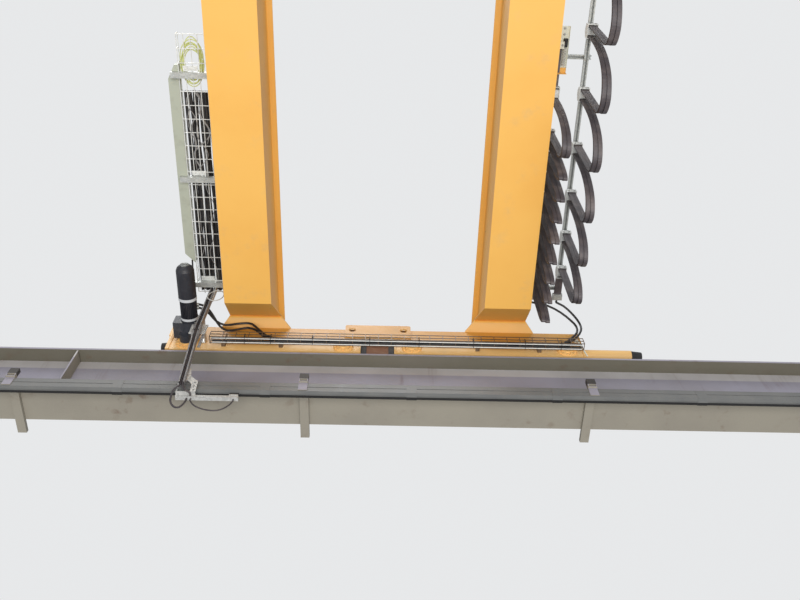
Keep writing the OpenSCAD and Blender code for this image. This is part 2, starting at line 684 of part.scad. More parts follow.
head_xs = [collector_bar_x0 + 3, collector_bar_x0 + collector_bar_len - shoe_len - 3];
foot_depth = 56;
module collector_bar() color(galvanised) {
    translate([collector_bar_x0, conductor_y - collector_bar_w / 2, collector_bar_z])
        cube([collector_bar_len, collector_bar_w, collector_bar_h]);
    for (x = head_xs) translate([x, conductor_y - collector_bar_w / 2 - 4, collector_bar_top])
        cube([shoe_len, collector_bar_w + 8, head_t]);
    // Foot plate that the strut's fork stands on
    translate([collector_bar_x0, conductor_y + collector_bar_w / 2 - foot_depth, collector_bar_top])
        cube([strut_x + 100 - collector_bar_x0, foot_depth, strut_plate_t]);
}
shoe_top = conductor_z - sleeve_t - 6;
module collector_shoes() color(cable_black) for (x = head_xs) translate([x, conductor_y - shoe_w / 2, collector_bar_top + head_t])
    cube([shoe_len, shoe_w, shoe_top - collector_bar_top - head_t]);

// A cable swept along hand-chosen points: a smooth curve through them, with rings of eight sides
function curve_point(a, b, c, d, t) = 0.5 * (2 * b + (c - a) * t + (2 * a - 5 * b + 4 * c - d) * t * t
    + (3 * b - a - 3 * c + d) * t * t * t);
function curve(p, steps) = let (n = len(p) - 1) concat(
    [for (i = [0 : n - 1], k = [0 : steps - 1])
        curve_point(p[max(i - 1, 0)], p[i], p[i + 1], p[min(i + 2, n)], k / steps)], [p[n]]);
function unit(v) = v / norm(v);
module tube(points, d, side, steps = 4) {
    path = curve(points, steps);
    n = len(path);
    sides = 8;
    rings = [for (i = [0 : n - 1]) let (
        along = unit(path[min(i + 1, n - 1)] - path[max(i - 1, 0)]),
        u = unit(cross(along, side)),
        v = cross(along, u))
        for (k = [0 : sides - 1]) path[i] + d / 2 * (cos(k * 360 / sides) * u + sin(k * 360 / sides) * v)];
    walls = [for (i = [0 : n - 2], k = [0 : sides - 1])
        let (a = i * sides + k, b = i * sides + (k + 1) % sides) [a, b, b + sides, a + sides]];
    polyhedron(rings, concat([[for (k = [sides - 1 : -1 : 0]) k]], walls,
        [[for (k = [0 : sides - 1]) (n - 1) * sides + k]]), convexity = 6);
}

// The collector's cables: two down the strut, one of them in a loop to the bar's left end, and a loop between its ends
strut_cable_d = 14;
loop_d = 10;
bar_under = collector_bar_z - loop_d / 2 - seat;
bar_side_y = conductor_y - collector_bar_w / 2;
bar_mid_z = collector_bar_z + collector_bar_h / 2;
left_cable = [[-1320, 4859, 1443], [-1320, 4859, 900], [-1320, 4859, 800], [-1320, 4864, 745],
    [-1320, 4883, 640], [-1320, 4938, 345], [-1320, 4955, 255], [-1320, 4960, 230], [-1326, 4964, 210], [-1342, 4970, 194],
    [-1358, 4982, 178], [-1366, 4998, 158], [-1368, 5012, 125], [-1355, 5018, 80], [-1325, 5020, 42], [-1295, 5022, 42],
    [-1275, 5024, 85], [-1268, 5027, 128], [-1268, 5027, 140], [-1268, 5027, collector_bar_z - seat]];
right_cable = [[-1304, 4859, 1443], [-1304, 4859, 900], [-1304, 4859, 800], [-1304, 4864, 745],
    [-1304, 4883, 640], [-1304, 4938, 345], [-1304, 4955, 255], [-1303, 4960, 230], [-1300, 4963, 205], [-1290, 4966, 183],
    [-1272, 4970, 167], [-1252, 4982, bar_mid_z], [-1244, 4995, bar_mid_z], [-1244, 5003, bar_mid_z], [-1244, bar_side_y - seat, bar_mid_z]];
collector_loop = [[-1240, 5027, bar_under + loop_d / 2], [-1240, 5027, 140], [-1240, 5027, 128], [-1205, 5027, 75], [-1150, 5027, 38],
    [-1080, 5027, 18], [-1020, 5027, 30], [-975, 5027, 80], [-956, 5027, 128], [-956, 5027, 140], [-956, 5027, bar_under + loop_d / 2]];
module collector_cables() color(cable_black) {
    tube(left_cable, strut_cable_d, [1, 0.2, 0], 3);
    tube(right_cable, strut_cable_d, [1, 0.2, 0], 3);
    tube(collector_loop, loop_d, [0, 1, 0], 3);
}

// Feed cables: from the left drive over the carriage tray to its right end, and up to the festoon's clamps
feed_d = 18;
feed_end_z = 1491;
box_side_x = drive_x + motor_shift + terminal_w / 2 + seat;
feed_end_y = track_far_y + seat;
feed_outer = [[box_side_x, 4930, 1251], [box_side_x + 12, 4930, 1251], [box_side_x + 24, 4930, 1251], [-1350, 4945, 1246],
    [-1310, 4985, 1242], [-1270, 5040, 1243], [-1204, 5080, 1252], [-1129, 5096, 1300], [-1060, 5096, 1316],
    [-1000, 5096, 1305], [-930, 5094, 1210], [-860, 5090, 1115], [-800, 5088, 1082], [-740, 5088, 1076], [-640, 5088, 1076],
    [1380, 5088, 1076], [1440, 5088, 1080], [1500, 5088, 1110], [1570, 5088, 1190], [1620, 5090, 1290], [1632, 5086, 1370],
    [1610, 5060, 1425], [1560, 5015, 1462], [1500, 4970, 1482], [1440, 4943, feed_end_z], [1440, 4929, feed_end_z], [1440, feed_end_y, feed_end_z]];
feed_inner = [[box_side_x, 4900, 1251], [box_side_x + 12, 4900, 1251], [box_side_x + 24, 4900, 1251], [-1345, 4908, 1238],
    [-1300, 4940, 1210], [-1262, 4995, 1188], [-1230, 5050, 1180], [-1180, 5095, 1195], [-1100, 5110, 1240], [-1030, 5110, 1268],
    [-960, 5110, 1235], [-900, 5108, 1150], [-840, 5107, 1095], [-780, 5107, 1080], [-720, 5107, 1076], [-640, 5107, 1076],
    [1340, 5107, 1076], [1400, 5107, 1082], [1460, 5107, 1120], [1530, 5107, 1200], [1590, 5106, 1290], [1600, 5098, 1375],
    [1560, 5070, 1425], [1480, 5020, 1462], [1370, 4970, 1482], [1225, 4943, feed_end_z], [1225, 4929, feed_end_z], [1225, feed_end_y, feed_end_z]];
module feed_cables() color(cable_black) {
    tube(feed_outer, feed_d, [0, 1, 0.01], 2);
    tube(feed_inner, feed_d, [0, 1, 0.01], 2);
}

// Festoon: two tracks under arms on the right girder's outer web
track_z = girder_top - 122;
track_slot = 12;
arm_drop = 20;
track_inner = girder_x + track_inner_x;
track_outer = girder_x + track_outer_x;
track_arms = floor((2 * track_far_y - 120) / track_arm_pitch);
inner_first_y = track_far_y - 115;
outer_first_y = track_far_y - 263;
function inner_at(i) = inner_first_y - i * inner_pitch - (i == inner_loops ? inner_pitch : 0);
function outer_at(i) = outer_first_y - i * outer_pitch - outer_spread * i * (i - 1) / 2;
inner_ys = [for (i = [0 : inner_loops]) inner_at(i)];
outer_ys = [for (i = [0 : outer_loops]) outer_at(i)];
track_arm_w = 30;
clamp_len = 50;
clamp_w = 76;
clamp_h = 34;
module track_profile() translate([-track_w / 2, 0]) difference() {
    square(track_w);
    translate([track_t, track_t]) square(track_w - 2 * track_t);
    translate([(track_w - track_slot) / 2, -1]) square([track_slot, track_t + 2]);
}
module festoon_track(x) color(galvanised) translate([x, 0, track_z]) rotate([90, 0, 0])
    linear_extrude(2 * track_far_y, center = true) track_profile();
module festoon_arms() {
    for (i = [0 : track_arms]) translate([0, track_far_y - 75 - i * track_arm_pitch, 0]) {
        color(galvanised) translate([web_x + arm_plate_t, 0, track_z + track_w + track_arm_w]) mirror([0, 0, 1])
            rotate([90, 0, 90]) linear_extrude(track_outer_x - girder_box_w / 2 - arm_plate_t + 40) strut_profile(track_arm_w);
        color(crane_yellow) translate([web_x, -60, track_z - 20]) cube([arm_plate_t, 120, 110]);
    }
    // Clamps that hold the cables' fixed ends at the far end of each track
    color(dark_grey) for (x = [track_inner, track_outer])
        translate([x - clamp_w / 2, track_far_y - clamp_len, track_z - clamp_h]) cube([clamp_w, clamp_len, clamp_h]);
}

// A carrier: rollers in the track, a stem through its slot, a yoke and a half-round saddle
roller_d = 20;
stem = 8;
yoke_t = 5;
yoke_len = 30;
cheek_len = 96;
yoke_top = 3;
yoke_x = flat_cable_w / 2 + 2;
cable_in_r = saddle_r + seat;
cable_out_r = cable_in_r + flat_cable_t;
cable_mid_r = (cable_in_r + cable_out_r) / 2;
saddle_z = -yoke_top - yoke_t - 1 - cable_out_r;
jaw_t = 4;
jaw_drop = 26;
module carrier(x, y) translate([x, y, track_z]) {
    translate([0, 0, track_t + roller_d / 2 + seat]) rod_x(roller_d, 3 * stem);
    translate([-stem / 2, -yoke_len / 2, -yoke_top - 1]) cube([stem, yoke_len, track_t + roller_d / 2 + yoke_top]);
    translate([-yoke_x - yoke_t, -yoke_len / 2, -yoke_top - yoke_t]) cube([2 * (yoke_x + yoke_t), yoke_len, yoke_t]);
    for (s = [-1, 1]) {
        translate([s * (yoke_x + yoke_t / 2), 0, 0]) thick_x(yoke_t) polygon([[-yoke_len / 2, -yoke_top],
            [-cheek_len / 2, saddle_z + jaw_drop], [-cheek_len / 2, saddle_z - jaw_drop], [cheek_len / 2, saddle_z - jaw_drop],
            [cheek_len / 2, saddle_z + jaw_drop], [yoke_len / 2, -yoke_top]]);
        // Jaw that presses the cable on the saddle's side
        translate([0, s * (cheek_len - jaw_t) / 2 + jaw_t / 2, saddle_z]) thick_y(jaw_t) polygon([
            [-yoke_x - 1, -jaw_drop], [yoke_x + 1, -jaw_drop], [yoke_x - 6, jaw_drop], [6 - yoke_x, jaw_drop]]);
    }
    translate([0, 0, saddle_z]) thick_x(2 * yoke_x + 1) difference() {
        circle(saddle_r);
        translate([-saddle_r - 1, -saddle_r - 16]) square([2 * saddle_r + 2, saddle_r]);
    }
}
module festoon_carriers(x, ys) color(galvanised) for (y = ys) carrier(x, y);

// Plate under the inner track, where the near end of its cable is clamped
anchor_near_y = inner_at(inner_loops) - 460;
anchor_far_y = anchor_near_y + 325;
anchor_x0 = track_inner - 62;
anchor_w = 136;
anchor_t = 3;
anchor_lip = 14;
anchor_clamp_y = anchor_near_y + 100;
anchor_z = track_z - yoke_top - yoke_t - 1 + seat;
bar_w = 44;
module festoon_anchor() {
    color([0.85, 0.84, 0.76]) translate([anchor_x0, anchor_near_y, anchor_z]) {
        cube([anchor_w, anchor_far_y - anchor_near_y, anchor_t]);
        for (x = [0, anchor_w - anchor_t]) translate([x, 0, -anchor_lip]) cube([anchor_t, anchor_far_y - anchor_near_y, anchor_lip + 1]);
    }
    color(crane_yellow) translate([web_x, anchor_far_y - bar_w, anchor_z]) cube([anchor_x0 - web_x, bar_w, 8]);
    color(dark_grey) translate([track_inner - clamp_w / 2, anchor_clamp_y, anchor_z - clamp_h]) cube([clamp_w, clamp_len, clamp_h]);
}

// The flat cables, each one band along a path: from its fixed end over each saddle and round the bottom of each loop.
// A loop's shape is in shares of the gap and of the depth, from the far carrier; its far leg hangs the straighter.
loop_shape = [[0, 0], [-0.02, 0.3], [-0.05, 0.68], [-0.06, 0.84], [0.02, 0.94], [0.22, 1], [0.45, 0.97], [0.68, 0.86],
    [0.88, 0.62], [0.98, 0.3], [1, 0]];
function over_saddle(y, from, to) = [for (a = [from : 15 : to]) [y + cable_mid_r * cos(a), cable_mid_r * sin(a)]];
function loop_path(far_y, near_y, depth) = let (
    gap = far_y - near_y - 2 * cable_mid_r,
    path = curve([for (p = loop_shape) [far_y - cable_mid_r - p[0] * gap, -p[1] * depth]], 2))
    [for (i = [1 : len(path) - 2]) path[i]];
function flat_path(ys, depth, end) = let (n = len(ys) - 1) concat(
    [[track_far_y - clamp_len, cable_mid_r]], over_saddle(ys[0], 90, 180),
    [for (i = [1 : n]) each concat(loop_path(ys[i - 1], ys[i], depth), over_saddle(ys[i], 0, i == n ? end : 180))]);
module flat_cable(x, path) color(cable_black) translate([x, 0, track_z + saddle_z]) thick_x(flat_cable_w) {
    n = len(path) - 1;
    sides = [for (i = [0 : n]) let (d = unit(path[min(i + 1, n)] - path[max(i - 1, 0)])) flat_cable_t / 2 * [-d[1], d[0]]];
    polygon(concat([for (i = [0 : n]) path[i] + sides[i]], [for (i = [n : -1 : 0]) path[i] - sides[i]]));
}
// The inner line's near end runs on under the anchor plate, into its clamp
module festoon_cable_inner() flat_cable(track_inner, concat(flat_path(inner_ys, inner_depth, 90),
    [[anchor_clamp_y + clamp_len, cable_mid_r]]));
module festoon_cable_outer() flat_cable(track_outer, flat_path(outer_ys, outer_depth, 180));

// Tow arm from the trolley, outside the tracks, to the outer line's leading carrier
tow_x = track_outer + 60;
tow_w = 30;
tow_z = track_z - 80;
lead_y = outer_at(outer_loops);
module festoon_tow_arm() color(crane_yellow) {
    start_y = trolley_y + side_len / 2 - 100;
    // The level bar reaches from the post to the carrier, on whichever side of the post that is
    bar_near = min(start_y, lead_y - 15);
    bar_far = max(start_y + 60, lead_y + 15);
    translate([girder_x + side_w / 2, start_y, side_z + 60]) cube([tow_x + tow_w - girder_x - side_w / 2, 60, 60]);
    translate([tow_x, start_y, tow_z]) cube([tow_w, 60, side_z + 61 - tow_z]);
    translate([tow_x, bar_near, tow_z]) cube([tow_w, bar_far - bar_near, 40]);
    translate([track_outer + yoke_x + yoke_t, lead_y - 15, tow_z]) cube([tow_x - track_outer - yoke_x - yoke_t + 1, 30, 30]);
}

// Trolley rails, and a plain crab trolley on them
rail_stop = 60;
trolley_rail_len = 2 * girder_end_y - 200;
trolley_rail_top = girder_top + trolley_rail_h;
trolley_axle_z = trolley_rail_top + seat + trolley_wheel_d / 2;
side_w = 170;
side_h = 210;
side_z = trolley_rail_top + 30;
side_len = trolley_base + 320;
side_top = side_z + side_h;
cross_w = 160;
cross_h = 180;
cross_y = 330;
deck_z = side_top - cross_h;
module trolley_rails() color([0.42, 0.40, 0.39]) both_ways_x() {
    translate([girder_x - trolley_rail_w / 2, -trolley_rail_len / 2, girder_top])
        cube([trolley_rail_w, trolley_rail_len, trolley_rail_h]);
    for (s = [-1, 1]) translate([girder_x - rail_stop, s * (trolley_rail_len / 2 + 10) - 10, girder_top])
        cube([2 * rail_stop, 20, 3 * rail_stop]);
}
rope_reach = drum_d / 2 + rope_d / 2 + seat;
module trolley_frame() color(crane_yellow) translate([0, trolley_y, 0]) {
    both_ways_x() difference() {
        translate([girder_x - side_w / 2, -side_len / 2, side_z]) cube([side_w, side_len, side_h]);
        for (s = [-1, 1]) translate([0, s * trolley_base / 2, 0]) {
            translate([girder_x - 45, -trolley_wheel_d / 2 - 18, side_z - 1])
                cube([90, trolley_wheel_d + 36, trolley_axle_z - side_z + trolley_wheel_d / 2 + 20]);
            translate([girder_x, 0, trolley_axle_z]) rod_x(50.6, side_w + 2);
        }
    }
    for (s = [-1, 1]) translate([side_w / 2 - girder_x, s * cross_y - cross_w / 2, deck_z])
        cube([2 * girder_x - side_w, cross_w, cross_h]);
    for (x = [-180, 130]) translate([x, cross_w / 2 - cross_y, deck_z]) cube([50, 2 * cross_y - cross_w, cross_h * 0.6]);
    translate([-180, -rope_reach - 40, deck_z + cross_h * 0.6]) cube([360, 80, 30]);
    both_ways_x() for (s = [-1, 1]) translate([drum_len / 2 + 12, 0, 0]) drum_stand();
}
drum_z = side_top + 60 + drum_d / 2;
module drum_stand() thick_x(24) difference() {
    polygon([[-cross_y - 60, side_top], [cross_y + 60, side_top], [90, drum_z + 80], [-90, drum_z + 80]]);
    translate([0, drum_z]) circle(d = 80.6);
}
module trolley_wheels() color(dark_grey) both_ways_x() for (s = [-1, 1])
    translate([girder_x, trolley_y + s * trolley_base / 2, trolley_axle_z]) rotate([0, 90, 0]) {
        rotate_extrude() wheel_section(trolley_wheel_d / 2, 12, trolley_rail_w / 2 + flange_clear);
        cylinder(d = 50, h = side_w, center = true);
    }
module hoist_drum() color(dark_grey) translate([0, trolley_y, drum_z]) {
    rod_x(drum_d, drum_len - 10);
    rod_x(80, drum_len + 48);
}
module hoist_gearmotor() color([0.25, 0.33, 0.40]) translate([drum_len / 2 + 24, trolley_y, drum_z]) {
    rotate([90, 0, 90]) linear_extrude(150) union() {
        circle(r = 120);
        translate([-150, -110]) circle(r = 90);
        translate([-150, -200]) square([150, 200]);
    }
    translate([150, -150, -110]) rotate([0, 90, 0]) cylinder(d = 170, h = 60);
}
// Four falls of rope, two on each side of the hook block
fall_x = 70;
module hoist_ropes() color([0.45, 0.44, 0.42]) for (x = [-fall_x, fall_x]) {
    translate([x, trolley_y + rope_reach, block_z]) cylinder(d = rope_d, h = drum_z - block_z);
    translate([x, trolley_y - rope_reach, block_z]) cylinder(d = rope_d, h = deck_z + cross_h * 0.6 - block_z);
}
sheave_w = 40;
module hook_block() translate([0, trolley_y, block_z]) {
    color(dark_grey) for (x = [-fall_x, fall_x]) translate([x, 0, 0]) rotate([0, 90, 0]) rotate_extrude() polygon([
        [0, -sheave_w / 2], [rope_reach + rope_d, -sheave_w / 2], [rope_reach - rope_d / 2 - seat, -rope_d / 2 - 1],
        [rope_reach - rope_d / 2 - seat, rope_d / 2 + 1], [rope_reach + rope_d, sheave_w / 2], [0, sheave_w / 2]]);
    color(crane_yellow) for (x = [-fall_x - sheave_w, -7, fall_x + sheave_w - 14]) translate([x + 7, 0, 0]) thick_x(14)
        difference() {
            union() {
                circle(r = rope_reach + 30);
                translate([-90, -rope_reach - 90]) square([180, rope_reach]);
            }
        }
    rod_x(60, 2 * fall_x + 2 * sheave_w + 30);
    color(crane_yellow) translate([-fall_x - sheave_w, -60, -rope_reach - 90]) cube([2 * fall_x + 2 * sheave_w, 120, 60]);
    color(dark_grey) translate([0, 0, -rope_reach - 90]) hook();
}
hook_r = 62;
hook_t = 46;
module hook() {
    translate([0, 0, -80]) cylinder(d = hook_t, h = 80);
    translate([0, 0, -80 - hook_r]) thick_x(hook_t) difference() {
        union() {
            circle(r = hook_r + 26);
            translate([-hook_t / 2, 20]) square([hook_t, hook_r]);
        }
        circle(r = hook_r - 26);
        translate([12, 0]) square([hook_r + 30, hook_r - 8]);
    }
}

runway_beam();  // runway_beam_far
mirror([0, 1, 0]) runway_beam();  // runway_beam_near
crane_rail();  // crane_rail_far
mirror([0, 1, 0]) crane_rail();  // crane_rail_near
bearing_stools();
conductor_hangers();
conductor_line();
mirror([1, 0, 0]) girder();  // girder_left
girder();  // girder_right
girder_feet();
mirror([1, 0, 0]) left_truck();  // truck_far_left
truck();  // truck_far_right
mirror([0, 1, 0]) mirror([1, 0, 0]) left_truck();  // truck_near_left
mirror([0, 1, 0]) truck();  // truck_near_right
tie_links();
link_blocks();
link_packers();
travel_wheels();  // wheels_far
mirror([0, 1, 0]) travel_wheels();  // wheels_near
bearing_caps();
buffer_tubes();
buffer_heads();
travel_gearbox();  // travel_gearbox_far
mirror([0, 1, 0]) travel_gearbox();  // travel_gearbox_near
travel_motor();  // travel_motor_far
mirror([0, 1, 0]) travel_motor();  // travel_motor_near
girder_tray();
tray_arms();
cable_trunking();
girder_tray_cables();
earth_cable_coil();
carriage_tray();
carriage_tray_cables();
feed_cables();
collector_strut();
collector_bar();
collector_shoes();
collector_cables();
festoon_arms();
festoon_anchor();
festoon_track(track_inner);  // festoon_track_inner
festoon_track(track_outer);  // festoon_track_outer
festoon_carriers(track_inner, inner_ys);  // festoon_carriers_inner
festoon_carriers(track_outer, outer_ys);  // festoon_carriers_outer
festoon_cable_inner();
festoon_cable_outer();
festoon_tow_arm();
trolley_rails();
trolley_frame();
trolley_wheels();
hoist_drum();
hoist_gearmotor();
hoist_ropes();
hook_block();
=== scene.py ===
# %% [markdown]
# An overhead bridge crane, dressed for its picture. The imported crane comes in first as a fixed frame: two
# runway beams, and the bridge that travels along them. This lesson gives each of its surfaces a finish,
# and adds the fastenings, cables and welds that it lacks.

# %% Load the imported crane
import json
import math

import bmesh
import bpy
from mathutils import Matrix, Vector


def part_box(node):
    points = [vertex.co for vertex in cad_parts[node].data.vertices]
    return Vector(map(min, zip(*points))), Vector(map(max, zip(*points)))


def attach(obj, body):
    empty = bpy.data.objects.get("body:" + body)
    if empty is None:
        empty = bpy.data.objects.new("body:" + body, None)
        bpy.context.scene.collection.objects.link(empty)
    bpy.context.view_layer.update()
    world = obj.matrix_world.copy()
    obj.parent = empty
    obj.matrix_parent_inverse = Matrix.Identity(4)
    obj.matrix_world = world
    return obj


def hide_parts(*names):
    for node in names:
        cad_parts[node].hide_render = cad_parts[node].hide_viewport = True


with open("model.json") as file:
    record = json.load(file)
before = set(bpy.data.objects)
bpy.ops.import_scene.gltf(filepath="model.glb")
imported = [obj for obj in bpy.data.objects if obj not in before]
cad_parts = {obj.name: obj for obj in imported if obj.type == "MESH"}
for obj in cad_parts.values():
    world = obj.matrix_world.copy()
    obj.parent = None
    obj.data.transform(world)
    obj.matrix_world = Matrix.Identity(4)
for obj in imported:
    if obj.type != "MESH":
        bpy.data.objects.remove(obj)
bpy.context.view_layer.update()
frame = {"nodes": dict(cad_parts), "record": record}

# %% [markdown]
# The picture was taken from the hall's floor, almost straight up, so the camera stands below the crane.
# Its place and its turn were worked out from the edges of the girders and of the runway beam.
# A turn is easiest to write as the camera's own directions: to its right, up its picture, and backwards.

# %% Camera
CAMERA_PLACE = Vector((0.041, 1.740, -4.630))
CAMERA_RIGHT = Vector((0.9996, -0.0272, -0.0072))
CAMERA_UP = Vector((-0.0207, -0.8852, 0.4647))
FOCAL_PIXELS = 855
PICTURE_WIDTH = 800


def add_object(name, data):
    """Puts a new object into the scene."""
    made = bpy.data.objects.new(name, data)
    bpy.context.scene.collection.objects.link(made)
    return made


def make_camera():
    data = bpy.data.cameras.new("hall_camera")
    data.sensor_width = 36
    data.lens = data.sensor_width * FOCAL_PIXELS / PICTURE_WIDTH
    data.clip_end = 200
    camera = add_object("hall_camera", data)
    back = CAMERA_RIGHT.cross(CAMERA_UP).normalized()
    up = back.cross(CAMERA_RIGHT).normalized()
    turn = Matrix((CAMERA_RIGHT.normalized(), up, back)).transposed()
    camera.matrix_world = Matrix.Translation(CAMERA_PLACE) @ turn.to_4x4()
    bpy.context.scene.camera = camera
    return camera


camera = make_camera()
print("the lens is", round(camera.data.lens, 1), "mm")

# %% [markdown]
# A material is a small machine of nodes, and wiring many of them by hand hides the idea.
# This class wraps one socket, so that arithmetic such as 1 - mask adds the Math nodes by itself.


# %% A socket that can be used in sums
class Wire:
    """One value in a material's nodes."""

    def __init__(self, tree, socket):
        self.tree, self.socket = tree, socket

    def sum_with(self, operation, first, second, clamp=False):
        node = self.tree.nodes.new("ShaderNodeMath")
        node.operation = operation
        node.use_clamp = clamp
        for place, value in zip(node.inputs, (first, second)):
            connect(self.tree, value, place)
        return Wire(self.tree, node.outputs[0])

    def __add__(self, other):
        return self.sum_with("ADD", self, other)

    def __sub__(self, other):
        return self.sum_with("SUBTRACT", self, other)

    def __mul__(self, other):
        return self.sum_with("MULTIPLY", self, other)

    def __radd__(self, other):
        return self.sum_with("ADD", other, self)

    def __rsub__(self, other):
        return self.sum_with("SUBTRACT", other, self)

    def __rmul__(self, other):
        return self.sum_with("MULTIPLY", other, self)

    def clamped(self):
        return self.sum_with("ADD", self, 0.0, clamp=True)

    def above(self, level):
        return self.sum_with("GREATER_THAN", self, level)

    def below(self, level):
        return self.sum_with("LESS_THAN", self, level)

    def size(self):
        return self.sum_with("ABSOLUTE", self, 0.0)


def connect(tree, value, place):
    """Links a wire to a socket, or sets the socket to a number, a colour or a vector."""
    if isinstance(value, Wire):
        tree.links.new(value.socket, place)
    elif isinstance(value, (tuple, list, Vector)) and place.type == "RGBA":
        place.default_value = (*value[:3], 1)
    else:
        place.default_value = value


# %% [markdown]
# Every finish starts from Object coordinates, because each piece keeps its place in its own mesh.
# A pattern written in metres then has its true scale everywhere, and it stays on the steel as the crane
# travels.


# %% One finish being made
class Finish:
    """A material, with one method that adds any node to it."""

    def __init__(self, name, metallic=0.0, roughness=0.5):
        self.material = bpy.data.materials.new(name)
        self.material.use_nodes = True
        self.tree = self.material.node_tree
        self.shader = self.tree.nodes["Principled BSDF"]
        self.set("Metallic", metallic)
        self.set("Roughness", roughness)
        self.place = self.node("ShaderNodeTexCoord", out="Object")

    def set(self, socket, value):
        connect(self.tree, value, self.shader.inputs[socket])

    def node(self, kind, settings=None, values=None, out=0):
        """Adds any node: its settings are set first, and then the values or wires of its sockets."""
        made = self.tree.nodes.new(kind)
        for name, setting in (settings or {}).items():
            setattr(made, name, setting)
        for name, value in (values or {}).items():
            connect(self.tree, value, made.inputs[name])
        return Wire(self.tree, made.outputs[out])

    def noise(self, scale, detail=3.0, roughness=0.55, stretch=None):
        """Cloudy noise from 0 to 1, with scale in clouds a metre; stretch multiplies it along each axis."""
        place = self.place
        if stretch:
            place = self.node("ShaderNodeMapping", values={"Vector": place, "Scale": stretch})
        settings = {"Vector": place, "Scale": scale, "Detail": detail, "Roughness": roughness}
        return self.node("ShaderNodeTexNoise", values=settings, out="Fac")

    def cells(self, scale, out="Distance"):
        """Random cells: the distance from each one's middle, or its own colour."""
        values = {"Vector": self.place, "Scale": scale}
        return self.node("ShaderNodeTexVoronoi", values=values, out=out)

    def band(self, value, low, high):
        """0 below low, 1 above high, and a smooth rise between them."""
        settings = {"interpolation_type": "SMOOTHSTEP"}
        return self.node("ShaderNodeMapRange", settings, {"Value": value, "From Min": low, "From Max": high})

    def facing(self, axis):
        """How far the surface faces along X, Y or Z, from -1 to 1."""
        normal = self.node("ShaderNodeTexCoord", out="Normal")
        return self.node("ShaderNodeSeparateXYZ", values={0: normal}, out=axis)

    def along(self, axis):
        """The place along X, Y or Z, in metres."""
        return self.node("ShaderNodeSeparateXYZ", values={0: self.place}, out=axis)

    def between(self, value, low, high):
        """1 between two levels, and 0 outside them."""
        return value.above(low) * value.below(high)

    def mix(self, share, first, second):
        """One colour, going over to the second where share is 1."""
        made = self.tree.nodes.new("ShaderNodeMix")
        made.data_type = "RGBA"
        connect(self.tree, share, made.inputs[0])
        connect(self.tree, first, made.inputs[6])
        connect(self.tree, second, made.inputs[7])
        return Wire(self.tree, made.outputs[2])

    def bump(self, height, depth):
        """Dents the surface by depth metres where height is 1."""
        values = {"Height": height, "Distance": depth, "Strength": 1.0}
        self.set("Normal", self.node("ShaderNodeBump", values=values))



# %% [markdown]
# The crane's own colour is a golden yellow, rolled or sprayed over mill plate. Close up it isn't even:
# the plate waves a little, dust settles on what faces up, and chains leave scuffs. The carriages have
# painted light and painted shade: a paler yellow for the light from below, and a browner yellow on the
# upper part of their fronts. What shows through the two lifting holes is painted shade over bare brown steel.


# %% Yellow crane paint
YELLOW = (0.88, 0.485, 0.105)
YELLOW_DEEP = (0.82, 0.405, 0.072)
YELLOW_PAINTED_LIT = (0.86, 0.555, 0.235)
YELLOW_PAINTED_SHADE = (0.46, 0.215, 0.020)
DUST = (0.42, 0.36, 0.28)
BARE_STEEL = (0.10, 0.085, 0.07)
RUST_IN_HOLE_SHADE = (0.060, 0.018, 0.010)
CARRIAGE_START = 5.06
CARRIAGE_TOP = 1.39
CARRIAGE_END = 1.612
FRONT_SHADE_START = 1.06
FRONT_SHADE_FULL = 1.14
HOLE_X = 0.204
HOLE_Z = 1.301
HOLE_RADIUS = 0.031
TIE_PLATE_Y = 5.1415


def crane_paint():
    finish = Finish("crane_paint", roughness=0.42)
    clouds = finish.noise(1.1, detail=4)
    grime = finish.noise(5.0, detail=8, roughness=0.68)
    colour = finish.mix(finish.band(clouds, 0.40, 0.78) * 0.7, YELLOW, YELLOW_DEEP)
    # Painted light and shade on the carriages: paler yellow for light from below, browner yellow on the upper
    # fronts.
    on_carriage = finish.along("Y").size().above(CARRIAGE_START) * finish.along("Z").below(CARRIAGE_TOP)
    front = finish.band(finish.facing("Y").size(), 0.5, 0.9)
    front = front * finish.band(finish.along("Z"), FRONT_SHADE_START, FRONT_SHADE_FULL)
    front = front * finish.along("X").size().below(CARRIAGE_END)
    carriage_light_and_shade = finish.mix(front, YELLOW_PAINTED_LIT, YELLOW_PAINTED_SHADE)
    colour = finish.mix(on_carriage * (0.55 + 0.35 * grime), colour, carriage_light_and_shade)
    colour = finish.mix(finish.band(grime, 0.55, 0.80) * 0.25, colour, DUST)
    settled = finish.band(finish.facing("Z"), 0.5, 0.95) * (0.25 + 0.5 * grime)
    colour = finish.mix(settled, colour, DUST)
    chips = finish.cells(7.0).below(0.045) * finish.band(grime, 0.52, 0.60)
    colour = finish.mix(chips, colour, BARE_STEEL)
    # Painted shade: behind the lifting holes the plate is a dark rust-brown, for shade on bare steel.
    aside, up = finish.along("X").size() - HOLE_X, finish.along("Z") - HOLE_Z
    hole_shade_patch = (aside * aside + up * up).below(HOLE_RADIUS ** 2) * finish.along("Y").size().above(TIE_PLATE_Y)
    colour = finish.mix(hole_shade_patch, colour, RUST_IN_HOLE_SHADE)
    finish.set("Base Color", colour)
    finish.set("Roughness", 0.34 + 0.22 * grime + 0.2 * settled)
    orange_peel = finish.noise(420.0, detail=2)
    plate_wave = finish.noise(2.2, detail=1)
    finish.bump(orange_peel * 0.16 + plate_wave * 0.8 - chips * 0.4, 0.0022)
    return finish.material


# %% [markdown]
# The runway beams carry an older paint. Upright faces, their webs, take a mauve-grey and flat faces, their
# flanges, a warmer beige, with rust weeping from the rail and from the stiffeners' welds. A pale strip runs
# along the top of each web, the top flange is darkened as painted shade, and the posts on the hanger bars are
# black.


